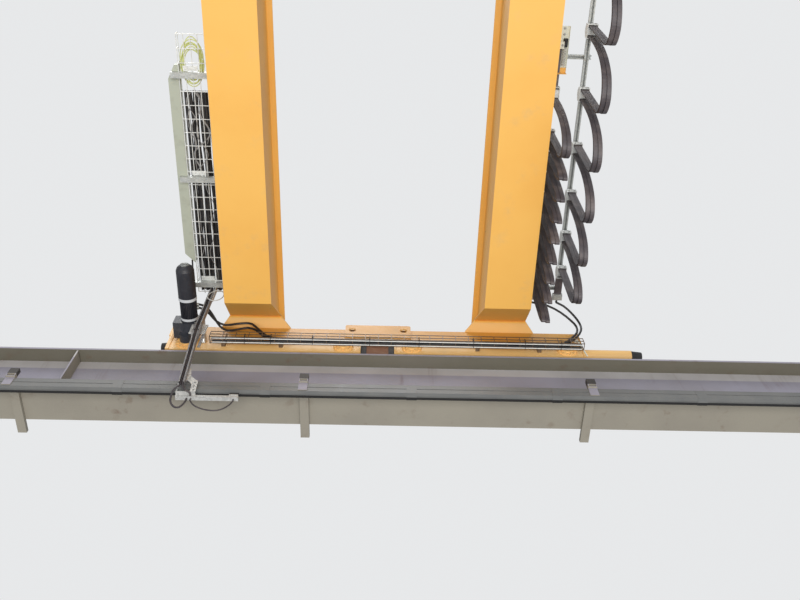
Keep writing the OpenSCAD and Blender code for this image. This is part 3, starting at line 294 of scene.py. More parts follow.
# %% Runway paint
WEB_GREY = (0.335, 0.322, 0.385)
FLANGE_BEIGE = (0.310, 0.285, 0.232)
RUST = (0.120, 0.052, 0.022)
WEB_TOP = 0.93
PALE_STRIP = (0.50, 0.48, 0.48)
STRIP_HEIGHT = 0.095
TOP_FLANGE_SHADE = (0.135, 0.125, 0.092)
POST_HEIGHTS = (0.351, 0.4155)
POST_YS = (4.97, 5.02)
POST_BLACK = (0.045, 0.042, 0.040)
OLD_GRIME = (0.20, 0.18, 0.155)
OLD_DUST = (0.16, 0.13, 0.10)


def runway_paint():
    finish = Finish("runway_paint", roughness=0.62)
    # Upright faces take the mauve-grey, flat faces the beige.
    upright = finish.band(finish.facing("Y").size(), 0.3, 0.8)
    colour = finish.mix(upright, FLANGE_BEIGE, WEB_GREY)
    height = finish.along("Z")
    strip = upright * finish.between(height, WEB_TOP - STRIP_HEIGHT, WEB_TOP)
    colour = finish.mix(strip, colour, PALE_STRIP)
    # Painted shade: the flat faces of the top flange are darkened.
    colour = finish.mix((1 - upright) * height.above(WEB_TOP - 0.01), colour, TOP_FLANGE_SHADE)
    on_post = finish.between(height, *POST_HEIGHTS) * finish.between(finish.along("Y"), *POST_YS)
    colour = finish.mix(on_post, colour, POST_BLACK)
    clouds = finish.noise(1.8, detail=6)
    colour = finish.mix(finish.band(clouds, 0.35, 0.75) * 0.35, colour, OLD_GRIME)
    drips = finish.noise(9.0, detail=5, stretch=(1.0, 1.0, 0.06))
    weeping = finish.band(drips, 0.57, 0.74) * finish.band(clouds, 0.38, 0.62) * 0.55
    colour = finish.mix(weeping, colour, RUST)
    settled = finish.band(finish.facing("Z"), 0.5, 0.95)
    colour = finish.mix(settled * 0.75, colour, OLD_DUST)
    finish.set("Base Color", colour)
    finish.set("Roughness", 0.55 + 0.3 * clouds)
    finish.bump(finish.noise(60.0, detail=5) * 0.3 + clouds * 0.5, 0.003)
    return finish.material


# %% [markdown]
# A rail is bare rolled steel: brown where nothing touches it, and bright where the wheels run.


# %% Rail steel
RAIL_BROWN = (0.085, 0.055, 0.040)
RAIL_RUSTY = (0.20, 0.13, 0.085)
RAIL_WORN = (0.38, 0.37, 0.35)
RAIL_BRIGHT = (0.62, 0.61, 0.59)


def rail_steel():
    finish = Finish("rail_steel", metallic=0.6, roughness=0.5)
    top = finish.band(finish.facing("Z"), 0.6, 0.95)
    scale = finish.noise(14.0, detail=8, roughness=0.7)
    drawn = finish.noise(30.0, detail=3, stretch=(0.03, 1.0, 1.0))
    sides = finish.mix(scale, RAIL_BROWN, RAIL_RUSTY)
    polished = finish.mix(drawn, RAIL_WORN, RAIL_BRIGHT)
    finish.set("Base Color", finish.mix(top, sides, polished))
    finish.set("Metallic", 0.35 + 0.6 * top)
    finish.set("Roughness", 0.72 - 0.44 * top + 0.1 * drawn)
    finish.bump(scale * (1 - top) + drawn * 0.1, 0.0016)
    return finish.material


# %% [markdown]
# Galvanised steel shows its zinc crystals, the spangle, as flat pale patches that each shine their own
# way. The collector's strut is darkened as painted shade, but the plates behind it keep a pale zinc, and
# they are one node with it. So the recipe can take a mask, worked out from the strut's lean, that is 1 on
# those plates.


# %% Galvanised steel
ZINC = (0.40, 0.42, 0.415)
ZINC_PALE = (0.61, 0.635, 0.61)
PLATE_ZINC = (0.46, 0.46, 0.445)
PLATE_ZINC_PALE = (0.76, 0.76, 0.735)
STRUT_BACK_Y = 4.8785
STRUT_JOINT_Z = 0.770
STRUT_LEAN = math.tan(math.radians(10.6))
GUSSET_X = -1.2912
GUSSET_LOW_Z = 1.20


def strut_plates(finish):
    """1 on the plates behind the strut and on its gusset, which stay pale while the strut is darkened as
    painted shade.
    """
    lean = (STRUT_JOINT_Z - finish.along("Z")) * STRUT_LEAN
    behind = (finish.along("Y") - lean * lean.above(0.0)).above(STRUT_BACK_Y)
    gusset = finish.along("X").above(GUSSET_X) * finish.along("Z").above(GUSSET_LOW_Z)
    return (behind + gusset).clamped()


def zinc(name, dull, pale, metallic=0.45, plates=None):
    finish = Finish(name, metallic=metallic, roughness=0.42)
    crystals = finish.cells(95.0, out="Color")
    spangle = finish.node("ShaderNodeSeparateColor", values={0: crystals}, out="Red")
    bloom = finish.noise(6.0, detail=6)
    colour = finish.mix(spangle * 0.6 + bloom * 0.4, dull, pale)
    colour = finish.mix(finish.band(bloom, 0.60, 0.85) * 0.35, colour, DUST)
    if plates:
        colour = finish.mix(plates(finish), colour, finish.mix(spangle, PLATE_ZINC, PLATE_ZINC_PALE))
    finish.set("Base Color", colour)
    finish.set("Roughness", 0.30 + 0.25 * spangle)
    finish.bump(spangle * 0.5 + bloom * 0.5, 0.0004)
    return finish.material


# %% [markdown]
# The trunking beside the tray is thin sheet in a pale cream-green, handled often and so a little marked.


# %% Cream sheet
def cream_sheet(name, clean, marked):
    finish = Finish(name, roughness=0.4)
    marks = finish.noise(11.0, detail=7)
    finish.set("Base Color", finish.mix(finish.band(marks, 0.5, 0.8), clean, marked))
    finish.set("Roughness", 0.32 + 0.3 * marks)
    finish.bump(finish.noise(260.0, detail=2), 0.0005)
    return finish.material


# %% [markdown]
# Motors, gearboxes and wheels are castings. Their paint is dark, thick and slightly grainy,
# so one recipe makes them all: a base colour, a lighter worn colour, and how shiny the film still is.
# The motors have two pale rings, at the brake and at the flange, which are bands along Y.


# %% Castings
# A pale colour for two rings on the motors.
PALE_RING = (0.62, 0.64, 0.66)


def casting(name, colour, worn, roughness, metallic=0.0, pale_rings=()):
    finish = Finish(name, metallic=metallic, roughness=roughness)
    sand = finish.noise(240.0, detail=3)
    wear = finish.noise(13.0, detail=8, roughness=0.66)
    shade = finish.mix(finish.band(wear, 0.48, 0.76), colour, worn)
    for start, end in pale_rings:
        shade = finish.mix(finish.between(finish.along("Y").size(), start, end), shade, PALE_RING)
    settled = finish.band(finish.facing("Z"), 0.4, 0.95) * 0.4
    finish.set("Base Color", finish.mix(settled * wear, shade, DUST))
    finish.set("Roughness", roughness + 0.25 * wear)
    finish.bump(sand * 0.5 + wear * 0.5, 0.0009)
    return finish.material


# %% [markdown]
# Cable jackets and rubber are nearly black, but never dead black: a thin film of dust makes them browner
# on top.


# %% Rubber and jackets
def jacket(name, colour, film, roughness, grain=300.0):
    finish = Finish(name, roughness=roughness)
    skin = finish.noise(grain, detail=2)
    dusty = finish.noise(9.0, detail=6)
    share = finish.band(dusty, 0.40, 0.78) * 0.55 + finish.band(finish.facing("Z"), 0.3, 1.0) * 0.25
    finish.set("Base Color", finish.mix(share.clamped(), colour, film))
    finish.set("Roughness", roughness + 0.2 * dusty)
    finish.bump(skin, 0.0004)
    return finish.material


# %% [markdown]
# The conductor line is a grey extrusion whose mouth points down. Its downward faces on the far side are
# black.


# %% Conductor cover
FAR_UNDERSIDE_Y = 5.034
FAR_UNDERSIDE_BLACK = (0.012, 0.012, 0.013)
COVER_GREY = (0.125, 0.130, 0.134)
COVER_DUSTY = (0.20, 0.20, 0.19)


def conductor_cover():
    finish = Finish("conductor_cover", roughness=0.5)
    film = finish.noise(7.0, detail=5)
    grey = finish.mix(film, COVER_GREY, COVER_DUSTY)
    # The downward faces on the far side are black.
    mouth = finish.band(0 - finish.facing("Z"), 0.5, 0.9) * finish.along("Y").above(FAR_UNDERSIDE_Y)
    finish.set("Base Color", finish.mix(mouth, grey, FAR_UNDERSIDE_BLACK))
    finish.set("Roughness", 0.40 + 0.3 * film)
    finish.bump(finish.noise(300.0, detail=2), 0.0004)
    return finish.material


# %% [markdown]
# Wire rope is a helix of strands. On plain rods the lay of the strands is drawn as slanting bands in the
# bump.


# %% Wire rope
LAY_OF_STRANDS = (0.0, 0.9, 0.9)
ROPE_GREASE = (0.10, 0.085, 0.07)
ROPE_BRIGHT = (0.40, 0.39, 0.37)


def wire_rope():
    finish = Finish("rope_steel", metallic=0.7, roughness=0.4)
    slant = finish.node("ShaderNodeMapping", values={"Vector": finish.place, "Rotation": LAY_OF_STRANDS})
    values = {"Vector": slant, "Scale": 28.0}
    strands = finish.node("ShaderNodeTexWave", {"bands_direction": "Z"}, values, out="Fac")
    grease = finish.noise(30.0, detail=5)
    colour = finish.mix(strands * 0.7 + grease * 0.3, ROPE_GREASE, ROPE_BRIGHT)
    finish.set("Base Color", colour)
    finish.set("Roughness", 0.3 + 0.3 * grease)
    finish.bump(strands, 0.0015)
    return finish.material


# %% [markdown]
# Every finish is made once and kept under a name: that of the record's slot, or of an own shade of it. A
# row gives the recipe, the name, the clean colour, the worn or dusty one, and what else the recipe asks
# for.

# %% All the finishes
MOTOR_RINGS = ((4.787, 4.8105), (4.956, 4.976))
RECIPES = (
    (zinc, "galvanised", ZINC, ZINC_PALE),
    (zinc, "bright_zinc", (0.60, 0.62, 0.61), (0.84, 0.86, 0.84), 0.15),
    # The strut's own zinc is darkened: painted shade.
    (zinc, "shaded_strut_zinc", (0.21, 0.205, 0.21), (0.34, 0.335, 0.335), 0.45, strut_plates),
    (zinc, "bar_zinc", (0.38, 0.38, 0.37), (0.60, 0.60, 0.58), 0.15),
    # Dark brown zinc for the tray in front of the trucks: rust, and painted shade.
    (zinc, "rust_and_shade_zinc", (0.085, 0.050, 0.028), (0.20, 0.145, 0.095), 0.2),
    (cream_sheet, "cream_sheet", (0.44, 0.47, 0.385), (0.36, 0.38, 0.31)),
    (cream_sheet, "bright_cream", (0.74, 0.75, 0.64), (0.60, 0.60, 0.50)),
    (casting, "dark_iron", (0.035, 0.034, 0.036), (0.12, 0.10, 0.085), 0.42, 0.4),
    (casting, "rusty_steel", (0.21, 0.088, 0.040), (0.27, 0.15, 0.085), 0.65),
    (casting, "gearbox_paint", (0.032, 0.036, 0.046), (0.070, 0.072, 0.085), 0.38),
    (casting, "motor_paint", (0.022, 0.023, 0.030), (0.050, 0.052, 0.064), 0.36, 0.0, MOTOR_RINGS),
    (casting, "hoist_paint", (0.052, 0.085, 0.125), (0.10, 0.13, 0.16), 0.38),
    (casting, "bolt_steel", (0.42, 0.42, 0.40), (0.22, 0.19, 0.15), 0.34, 0.7),
    (jacket, "black_rubber", (0.020, 0.020, 0.022), (0.075, 0.068, 0.060), 0.62),
    (jacket, "cable_jacket", (0.055, 0.048, 0.053), (0.150, 0.125, 0.120), 0.46),
    (jacket, "flat_cable", (0.070, 0.060, 0.066), (0.225, 0.185, 0.172), 0.36, 900.0),
    (jacket, "black_jacket", (0.010, 0.010, 0.011), (0.050, 0.046, 0.044), 0.42),
    (jacket, "grey_jacket", (0.26, 0.26, 0.26), (0.44, 0.43, 0.41), 0.45),
    (jacket, "white_plastic", (0.62, 0.62, 0.59), (0.45, 0.43, 0.38), 0.45),
    (jacket, "earth_jacket", (0.60, 0.64, 0.24), (0.70, 0.71, 0.44), 0.45),
)
FINISHES = {
    "crane_paint": crane_paint(), "runway_paint": runway_paint(), "rail_steel": rail_steel(),
    "conductor_cover": conductor_cover(), "rope_steel": wire_rope(),
}
for recipe, name, *amounts in RECIPES:
    FINISHES[name] = recipe(name, *amounts)
print(len(FINISHES), "finishes")

# %% [markdown]
# Most nodes take the finish of their slot. A few have an own shade of it: zinc is bright where it is new,
# the collector's strut is darkened as painted shade, and the tray in front of the trucks is dark brown, for
# rust and for painted shade.

# %% Put each finish on the nodes that have its slot
SLOT_OF = {part["node"]: part["material_slot"] for part in frame["record"]["subparts"]}
SHADE_OF = {
    "festoon_carriers_inner": "bright_zinc", "festoon_carriers_outer": "bright_zinc",
    "collector_strut": "shaded_strut_zinc", "girder_tray": "bright_zinc", "carriage_tray": "rust_and_shade_zinc",
    "collector_bar": "bar_zinc", "festoon_anchor": "bright_cream",
    "carriage_tray_cables": "black_jacket", "feed_cables": "black_jacket",
}


def dress_nodes():
    for name, node in frame["nodes"].items():
        slot = SLOT_OF[name]
        node.data.materials.clear()
        node.data.materials.append(FINISHES[SHADE_OF.get(name, slot)])


dress_nodes()
print(len(frame["nodes"]), "nodes dressed")

# %% [markdown]
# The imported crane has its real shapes, but no bolts, and its cables lie there as plain bars.
# The next cells add what is missing. Each piece is one mesh, and it rides on the body that carries it.
# A piece made of many like things, such as all the bolts, is one bmesh that they are added to in a loop.


# %% Start and end of a piece
def new_piece(name, shape, finish, body="bridge", replaced=()):
    """Makes an object of a bmesh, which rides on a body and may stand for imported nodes."""
    mesh = bpy.data.meshes.new(name)
    shape.to_mesh(mesh)
    shape.free()
    mesh.materials.append(FINISHES[finish])
    piece = add_object(name, mesh)
    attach(piece, body)
    if replaced:
        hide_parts(*replaced)
    print(name, len(mesh.polygons), "faces")


def turned_to(direction):
    """The turn that takes +Z to a direction."""
    return Vector((0, 0, 1)).rotation_difference(Vector(direction)).to_matrix().to_4x4()


def add_round(shape, place, direction, width, height, sides=12, tip=1.0):
    """Adds a round bar, or with 6 sides a hexagon, standing on a place; tip narrows its far end."""
    centre = Vector(place) + Vector(direction).normalized() * height / 2
    bmesh.ops.create_cone(shape, cap_ends=True, segments=sides, radius1=width / 2, radius2=width / 2 * tip,
                          depth=height, matrix=Matrix.Translation(centre) @ turned_to(direction))


def add_box(shape, low, high):
    """Adds a box between two corners."""
    size = Vector(high) - Vector(low)
    middle = (Vector(high) + Vector(low)) / 2
    bmesh.ops.create_cube(shape, size=1.0, matrix=Matrix.Translation(middle) @ Matrix.Diagonal((*size, 1.0)))


def add_part(shape, part):
    """Adds a finished bmesh to a larger one."""
    mesh = bpy.data.meshes.new("part")
    part.to_mesh(mesh)
    part.free()
    shape.from_mesh(mesh)
    bpy.data.meshes.remove(mesh)


def corners_of(made):
    """The corners among all that an extrusion made."""
    return [item for item in made if isinstance(item, bmesh.types.BMVert)]


# %% [markdown]
# A hexagon bolt is a washer, a head and the rounded crown of the head. The crown is a shallow cone, which
# is enough to catch the light as the real one does, and keeps hundreds of bolts cheap.


# %% Bolts
def add_bolt(shape, place, direction, size):
    """Adds the head of a bolt of this thread size, with its washer, on a face."""
    out = Vector(direction).normalized()
    add_round(shape, place, out, 2.1 * size, 0.16 * size, sides=16)
    add_round(shape, Vector(place) + out * 0.16 * size, out, 1.85 * size, 0.62 * size, sides=6)
    add_round(shape, Vector(place) + out * 0.78 * size, out, 1.6 * size, 0.07 * size, sides=12, tip=0.8)


def add_bolt_circle(shape, centre, radius, count, out, size):
    """Adds bolts round a centre, on a face that looks along Y or back along it."""
    for turn in range(count):
        angle = math.tau * (turn + 0.5) / count
        place = (centre[0] + radius * math.cos(angle), centre[1], centre[2] + radius * math.sin(angle))
        add_bolt(shape, place, (0, out, 0), size)


RAIL_Y = 5.25
TRUCK_FRONT = 5.15
TRUCK_BACK = 5.35
AXLE_Z = 1.0803
WHEEL_XS = (-1.475, -0.265, 0.265, 1.475)
CAP_STEP = 0.013
CAP_BOLT_CIRCLE = 0.066
CAP_BOLTS = 8


def bearing_bolts():
    shape = bmesh.new()
    for end in (-1, 1):
        for x in WHEEL_XS:
            for face, out in ((TRUCK_FRONT - CAP_STEP, -end), (TRUCK_BACK + CAP_STEP, end)):
                add_bolt_circle(shape, (x, end * face, AXLE_Z), CAP_BOLT_CIRCLE, CAP_BOLTS, out, 0.010)
    new_piece("bearing_bolts", shape, "crane_paint")


bearing_bolts()

# %% [markdown]
# The feet of the girders stand on the trucks with two rows of bolts. The bolts of the bearings were
# painted over with the trucks, but these were fitted on site, so they are bare.

# %% Foot bolts
FOOT_TOP = 1.355
FOOT_HALF = 0.275
FOOT_BOLT_YS = (5.19, 5.25, 5.31)
FOOT_BOLT_MARGIN = 0.038
GIRDER_X = 0.975
SITE_BOLT = 0.020


def foot_bolts():
    shape = bmesh.new()
    for end in (-1, 1):
        for side in (-1, 1):
            for across in (-1, 1):
                x = side * GIRDER_X + across * (FOOT_HALF - FOOT_BOLT_MARGIN)
                for y in FOOT_BOLT_YS:
                    add_bolt(shape, (x, end * y, FOOT_TOP), (0, 0, 1), SITE_BOLT)
    new_piece("foot_bolts", shape, "bolt_steel")


foot_bolts()

# %% [markdown]
# Long fillet welds join the webs of the box girders to their flanges. A fillet is a bar of triangular
# section, so a three-sided cone without a taper, laid along Y, is one weld. The same bar is used short
# for the rails, which are stitched to the runway beams.


# %% Welds
def add_weld(shape, start, end, size):
    """Adds a three-sided bar between two points."""
    along = Vector(end) - Vector(start)
    add_round(shape, start, along, 2 * size, along.length, sides=3)


FILLET = 0.007
WEB_HALF = 0.150
GIRDER_LOW = 1.030 + 0.012
GIRDER_HIGH = 1.630 - 0.012
KNEE_Y = 4.765
WELD_END = 5.44


def girder_welds():
    shape = bmesh.new()
    for side in (-1, 1):
        for face in (-1, 1):
            x = side * GIRDER_X + face * WEB_HALF
            add_weld(shape, (x, -KNEE_Y, GIRDER_LOW), (x, KNEE_Y, GIRDER_LOW), FILLET)
            add_weld(shape, (x, -WELD_END, GIRDER_HIGH), (x, WELD_END, GIRDER_HIGH), FILLET)
    new_piece("girder_welds", shape, "crane_paint")


RAIL_HALF = 0.025
BEAM_TOP = 0.95
STITCH_PITCH = 0.30
STITCH_HALF = 0.04
RAIL_RUN = 3.9


def rail_stitches():
    shape = bmesh.new()
    for end in (-1, 1):
        for face in (-1, 1):
            y = end * RAIL_Y + face * RAIL_HALF
            for step in range(int(2 * RAIL_RUN / STITCH_PITCH) + 1):
                x = -RAIL_RUN + step * STITCH_PITCH
                add_weld(shape, (x - STITCH_HALF, y, BEAM_TOP), (x + STITCH_HALF, y, BEAM_TOP), FILLET)
    new_piece("rail_stitches", shape, "rail_steel", body="runway")


girder_welds()
rail_stitches()

# %% [markdown]
# Each runway beam is bolted to its two stools. The heads stand on the beam's bottom flange on both sides
# of the web, and the nuts hang under the stool's top plate.

# %% Stool bolts
STOOL_XS = (-3.85, 3.85)
FLANGE_TOP = 0.370
STOOL_PLATE_LOW = 0.330
STOOL_BOLT_XS = (-0.095, 0.095)
STOOL_BOLT_YS = (-0.07, 0.07)


def stool_bolts():
    shape = bmesh.new()
    for end in (-1, 1):
        for stool_x in STOOL_XS:
            for dx in STOOL_BOLT_XS:
                for dy in STOOL_BOLT_YS:
                    x, y = stool_x + dx, end * RAIL_Y + dy
                    add_bolt(shape, (x, y, FLANGE_TOP), (0, 0, 1), SITE_BOLT)
                    add_bolt(shape, (x, y, STOOL_PLATE_LOW), (0, 0, -1), SITE_BOLT)
    new_piece("stool_bolts", shape, "bolt_steel", body="runway")


stool_bolts()

# %% [markdown]
# Cables are curves first: a Bezier spline with automatic handles runs smoothly through a few points, and
# its bevel gives it thickness. The curve is then turned into a mesh, as every other piece is.


# %% Tubes along points
def add_tubes(shape, routes, diameter, sides=3, closed=False):
    """Adds one round cable for each list of points; sides is the bevel's resolution."""
    curve = bpy.data.curves.new("route", "CURVE")
    curve.dimensions = "3D"
    curve.bevel_depth = diameter / 2
    curve.bevel_resolution = sides
    curve.resolution_u = 4
    curve.use_fill_caps = True
    for points in routes:
        spline = curve.splines.new("BEZIER")
        spline.bezier_points.add(len(points) - 1)
        spline.use_cyclic_u = closed
        for knot, point in zip(spline.bezier_points, points):
            knot.co = point
            knot.handle_left_type = knot.handle_right_type = "AUTO"
    holder = add_object("route", curve)
    bpy.context.view_layer.update()
    mesh = bpy.data.meshes.new_from_object(holder.evaluated_get(bpy.context.evaluated_depsgraph_get()))
    shape.from_mesh(mesh)
    bpy.data.objects.remove(holder)
    bpy.data.meshes.remove(mesh)


# %% [markdown]
# The spare length of the earth cable is wound up in the tray's near end, in a long loose coil. One route
# goes round and round. Slow sine waves open, close and shift the turns, so that they cross as hand-laid
# turns do.

# %% Earth cable coil
EARTH_CABLE = 0.007
COIL_TURNS = 9
POINTS_A_TURN = 16


def earth_coil():
    low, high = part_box("earth_cable_coil")
    centre = (Vector(low) + Vector(high)) / 2
    half = (Vector(high) - Vector(low)) / 2 - Vector((EARTH_CABLE, EARTH_CABLE, EARTH_CABLE)) / 2
    route = []
    for step in range(COIL_TURNS * POINTS_A_TURN + 1):
        angle = math.tau * step / POINTS_A_TURN
        turn = step / POINTS_A_TURN
        open_x = 0.84 + 0.16 * math.sin(2.1 * turn)
        open_y = 0.72 + 0.10 * math.cos(2.9 * turn)
        shift_y = 0.18 * math.sin(1.3 * turn)
        route.append((centre.x + half.x * open_x * math.cos(angle),
                      centre.y + half.y * (open_y * math.sin(angle) + shift_y),
                      low[2] + EARTH_CABLE / 2 + 2 * half.z * turn / COIL_TURNS))
    shape = bmesh.new()
    add_tubes(shape, [route], EARTH_CABLE, sides=2)
    new_piece("earth_cable_turns", shape, "earth_jacket", replaced=["earth_cable_coil"])


earth_coil()

# %% [markdown]
# In the tray on the girder the cables aren't straight: they were pulled in one after another, and they
# lean on and wander across each other. Each gets its own slow wave from its number. Thin grey ones lie
# lowest and snake more.

# %% Cables in the girder's tray
TRAY_CABLES = [(0.026 + 0.0212 * number, 0.020 + 0.003 * (number % 4)) for number in range(12)]
PALE_CABLES = (
    # place across, diameter, length, sway
    (0.100, 0.006, 0.7, 0.042), (0.120, 0.012, 0.6, 0.050), (0.095, 0.010, 0.5, 0.034),
    (0.060, 0.005, 1.6, 0.016), (0.150, 0.005, 1.5, 0.020),
)
KNOT_PITCH = 0.05
LEFT_ROOM = 0.012
RIGHT_ROOM = 0.008
LIFT = 0.008


def tray_route(number, across, diameter, start, end, sway, wave, base):
    """A route along Y that sways with its own phase; across is its place from the tray's outer side."""
    tray_low, tray_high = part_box("girder_tray")
    count = int((end - start) / KNOT_PITCH)
    route = []
    for knot in range(count + 1):
        y = start + (end - start) * knot / count
        slow, quick = math.sin(wave * y + 1.9 * number), math.sin(2.3 * wave * y + 0.7 * number * number)
        x = tray_low[0] + across + sway * (slow + 0.6 * quick)
        x = min(max(x, tray_low[0] + LEFT_ROOM + diameter), tray_high[0] - RIGHT_ROOM - diameter)
        lift = LIFT * (1 + math.sin(3.7 * y + 2.6 * number))
        route.append((x, y, base + diameter / 2 + lift))
    return route


def tray_cables():
    low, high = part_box("girder_tray_cables")
    coil_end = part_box("earth_cable_coil")[1][1]
    beside_coil = ((0.016, low[1]), (0.018, low[1] + 0.2), (0.013, coil_end + 0.1))
    shape = bmesh.new()
    add_tubes(shape, [[(high[0] - aside, y, low[2] + 0.01) for aside, y in beside_coil]], 0.018, sides=2)
    for number, (across, diameter) in enumerate(TRAY_CABLES):
        route = tray_route(number, across, diameter, coil_end + 0.02, high[1], 0.005, 4.5, low[2])
        add_tubes(shape, [route], diameter, sides=2)
    new_piece("tray_cables", shape, "black_jacket", replaced=["girder_tray_cables"])


def pale_tray_cables():
    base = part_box("girder_tray_cables")[0][2] - 0.010
    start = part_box("earth_cable_coil")[1][1] + 0.03
    shape = bmesh.new()
    for number, (across, diameter, length, sway) in enumerate(PALE_CABLES):
        route = tray_route(number + 11, across, diameter, start, start + length, sway, 10.0, base)
        add_tubes(shape, [route], diameter, sides=2)
    new_piece("pale_tray_cables", shape, "grey_jacket")


tray_cables()
pale_tray_cables()

# %% [markdown]
# Every arm under the tray holds it with a small clamp plate and three bolts, just beside the channel.

# %% Tray clamps
CLAMP_WIDE = 0.104
CLAMP_LONG = 0.036
CLAMP_THICK = 0.004
CLAMP_X = -1.350
CLAMP_BOLT_XS = (-0.034, 0.0, 0.034)
CHANNEL = 0.041
SMALL_BOLT = 0.008


def tray_clamps():
    shape = bmesh.new()
    tray_low, tray_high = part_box("girder_tray")
    under = tray_low[2] - CLAMP_THICK
    for y in (tray_low[1] + 0.28, tray_low[1] + 1.05, tray_high[1] - 0.08):
        edge = y - CHANNEL / 2 - 0.004
        add_box(shape, (CLAMP_X - CLAMP_WIDE / 2, edge - CLAMP_LONG, under),
                (CLAMP_X + CLAMP_WIDE / 2, edge, tray_low[2]))
        for dx in CLAMP_BOLT_XS:
            add_bolt(shape, (CLAMP_X + dx, edge - CLAMP_LONG / 2, under), (0, 0, -1), SMALL_BOLT)
    new_piece("tray_clamps", shape, "bright_zinc")


tray_clamps()

# %% [markdown]
# A festoon carries its supply in flat cables: here two stacks side by side, of three cables each. Each is
# as long as its place in the stack needs, so at the bottom of a loop they part a little. One cable is a
# path drawn once: over each half round saddle, down, round the bottom of the loop and up. Extruding its
# edges sideways makes a ribbon, and solidify gives the ribbon its thickness.

# %% The path of a flat cable
SADDLE = 0.0303
LAYER = 0.003
LOOP_SHAPE = ((0, 0), (-0.02, 0.3), (-0.05, 0.68), (-0.06, 0.84), (0.02, 0.94), (0.22, 1), (0.45, 0.97),
              (0.68, 0.86), (0.88, 0.62), (0.98, 0.3), (1, 0))
STEPS_A_KNOT = 4
ARC_STEPS = 12


def smooth_through(points, steps):
    """Points on a smooth curve through the given ones."""
    out = []
    last = len(points) - 1
    for i in range(last):
        a, b = points[max(i - 1, 0)], points[i]
        c, d = points[i + 1], points[min(i + 2, last)]
        for step in range(steps):
            t = step / steps
            out.append((2 * b + (c - a) * t + (2 * a - 5 * b + 4 * c - d) * t * t
                        + (3 * b - a - 3 * c + d) * t ** 3) / 2)
    return out + [points[last]]


def over_saddle(y, radius, start, end):
    """An arc round a saddle's centre, from one angle to another in degrees."""
    angles = [math.radians(start + (end - start) * step / ARC_STEPS) for step in range(ARC_STEPS + 1)]
    return [Vector((y + radius * math.cos(angle), radius * math.sin(angle))) for angle in angles]


def loop_between(far, near, radius, depth):
    """The hanging loop between two saddles, without its ends."""
    gap = far - near - 2 * radius
    knots = [Vector((far - radius - share * gap, -down * depth)) for share, down in LOOP_SHAPE]
    return smooth_through(knots, STEPS_A_KNOT)[1:-1]


def flat_path(saddles, start_y, radius, depth, last_angle):
    """The path in Y and height over the saddles' centres, from the far end to the near one."""
    path = [Vector((start_y, radius))] + over_saddle(saddles[0], radius, 90, 180)
    for far, near in zip(saddles, saddles[1:]):
        path += loop_between(far, near, radius, depth)
        path += over_saddle(near, radius, 0, last_angle if near == saddles[-1] else 180)
    return path


# %% The ribbons of one line
FAR_CLAMP = 4.865
TRACK_INNER = 1.225
TRACK_OUTER = 1.440
SADDLE_Z = 1.508 - 0.009 - 0.0423
LOOP_RISE = 0.034
INNER_SADDLES = [4.800 - 0.156 * i for i in range(9)] + [3.240]
OUTER_SADDLES = [4.652, 4.352, 4.017, 3.647, 3.242, 2.802, 2.327, 1.817]
LAYERS = (
    # width, place aside, how much lower its loops hang, place in the stack
    (0.029, -0.0150, 0.000, 0), (0.029, 0.0150, 0.005, 0),
    (0.027, -0.0145, 0.022, 1.2), (0.028, 0.0145, 0.034, 1.2),
    (0.029, -0.0150, 0.010, 2.4), (0.026, 0.0135, 0.016, 2.4),
)


def add_ribbon(shape, path, x, width):
    ribbon = bmesh.new()
    points = [ribbon.verts.new((x - width / 2, point.x, SADDLE_Z + point.y)) for point in path]
    edges = [ribbon.edges.new(pair) for pair in zip(points, points[1:])]
    made = bmesh.ops.extrude_edge_only(ribbon, edges=edges)["geom"]
    bmesh.ops.translate(ribbon, verts=corners_of(made), vec=(width, 0, 0))
    bmesh.ops.recalc_face_normals(ribbon, faces=ribbon.faces[:])
    bmesh.ops.solidify(ribbon, geom=ribbon.faces[:], thickness=LAYER * 0.9)
    add_part(shape, ribbon)


def festoon_line(name, node, x, saddles, depth, last_angle, near_end=None):
    shape = bmesh.new()
    for width, aside, lower, level in LAYERS:
        radius = SADDLE + (level + 0.5) * LAYER
        path = flat_path(saddles, FAR_CLAMP, radius, depth + lower - LOOP_RISE, last_angle)
        if near_end:
            path.append(Vector((near_end, path[-1].y)))
        add_ribbon(shape, path, x + aside, width)
    new_piece(name, shape, "flat_cable", replaced=[node])


festoon_line("festoon_inner_pack", "festoon_cable_inner", TRACK_INNER, INNER_SADDLES, 0.660, 90,
             near_end=2.930)
festoon_line("festoon_outer_pack", "festoon_cable_outer", TRACK_OUTER, OUTER_SADDLES, 0.650, 180)

# %% [markdown]
# The carriers clamp their cables with small bolts through the jaws, two on each side, and a nut over the
# yoke. A bright half round plate closes each saddle on both sides. It is a round plate whose upper part
# is cut off.

# %% Carrier bolts
CARRIERS = [(TRACK_INNER, y) for y in INNER_SADDLES] + [(TRACK_OUTER, y) for y in OUTER_SADDLES]
CARRIER_BOLT = 0.006
JAW_FACE = 0.048
JAW_BOLT_Z = SADDLE_Z - 0.012
JAW_BOLT_XS = (-0.020, 0.020)
YOKE_TOP = SADDLE_Z + 0.050
YOKE_BOLT_X = 0.022


def carrier_bolts():
    shape = bmesh.new()
    for x, y in CARRIERS:
        for side in (-1, 1):
            for dx in JAW_BOLT_XS:
                add_bolt(shape, (x + dx, y + side * JAW_FACE, JAW_BOLT_Z), (0, side, 0), CARRIER_BOLT)
        add_bolt(shape, (x + YOKE_BOLT_X, y, YOKE_TOP), (0, 0, 1), CARRIER_BOLT)
    new_piece("carrier_bolts", shape, "bolt_steel")


PLATE_RADIUS = 0.029
PLATE_THICK = 0.0025
PLATE_ASIDE = 0.0305
PLATE_Z = SADDLE_Z + 0.004
PLATE_CUT_Z = SADDLE_Z + 0.010


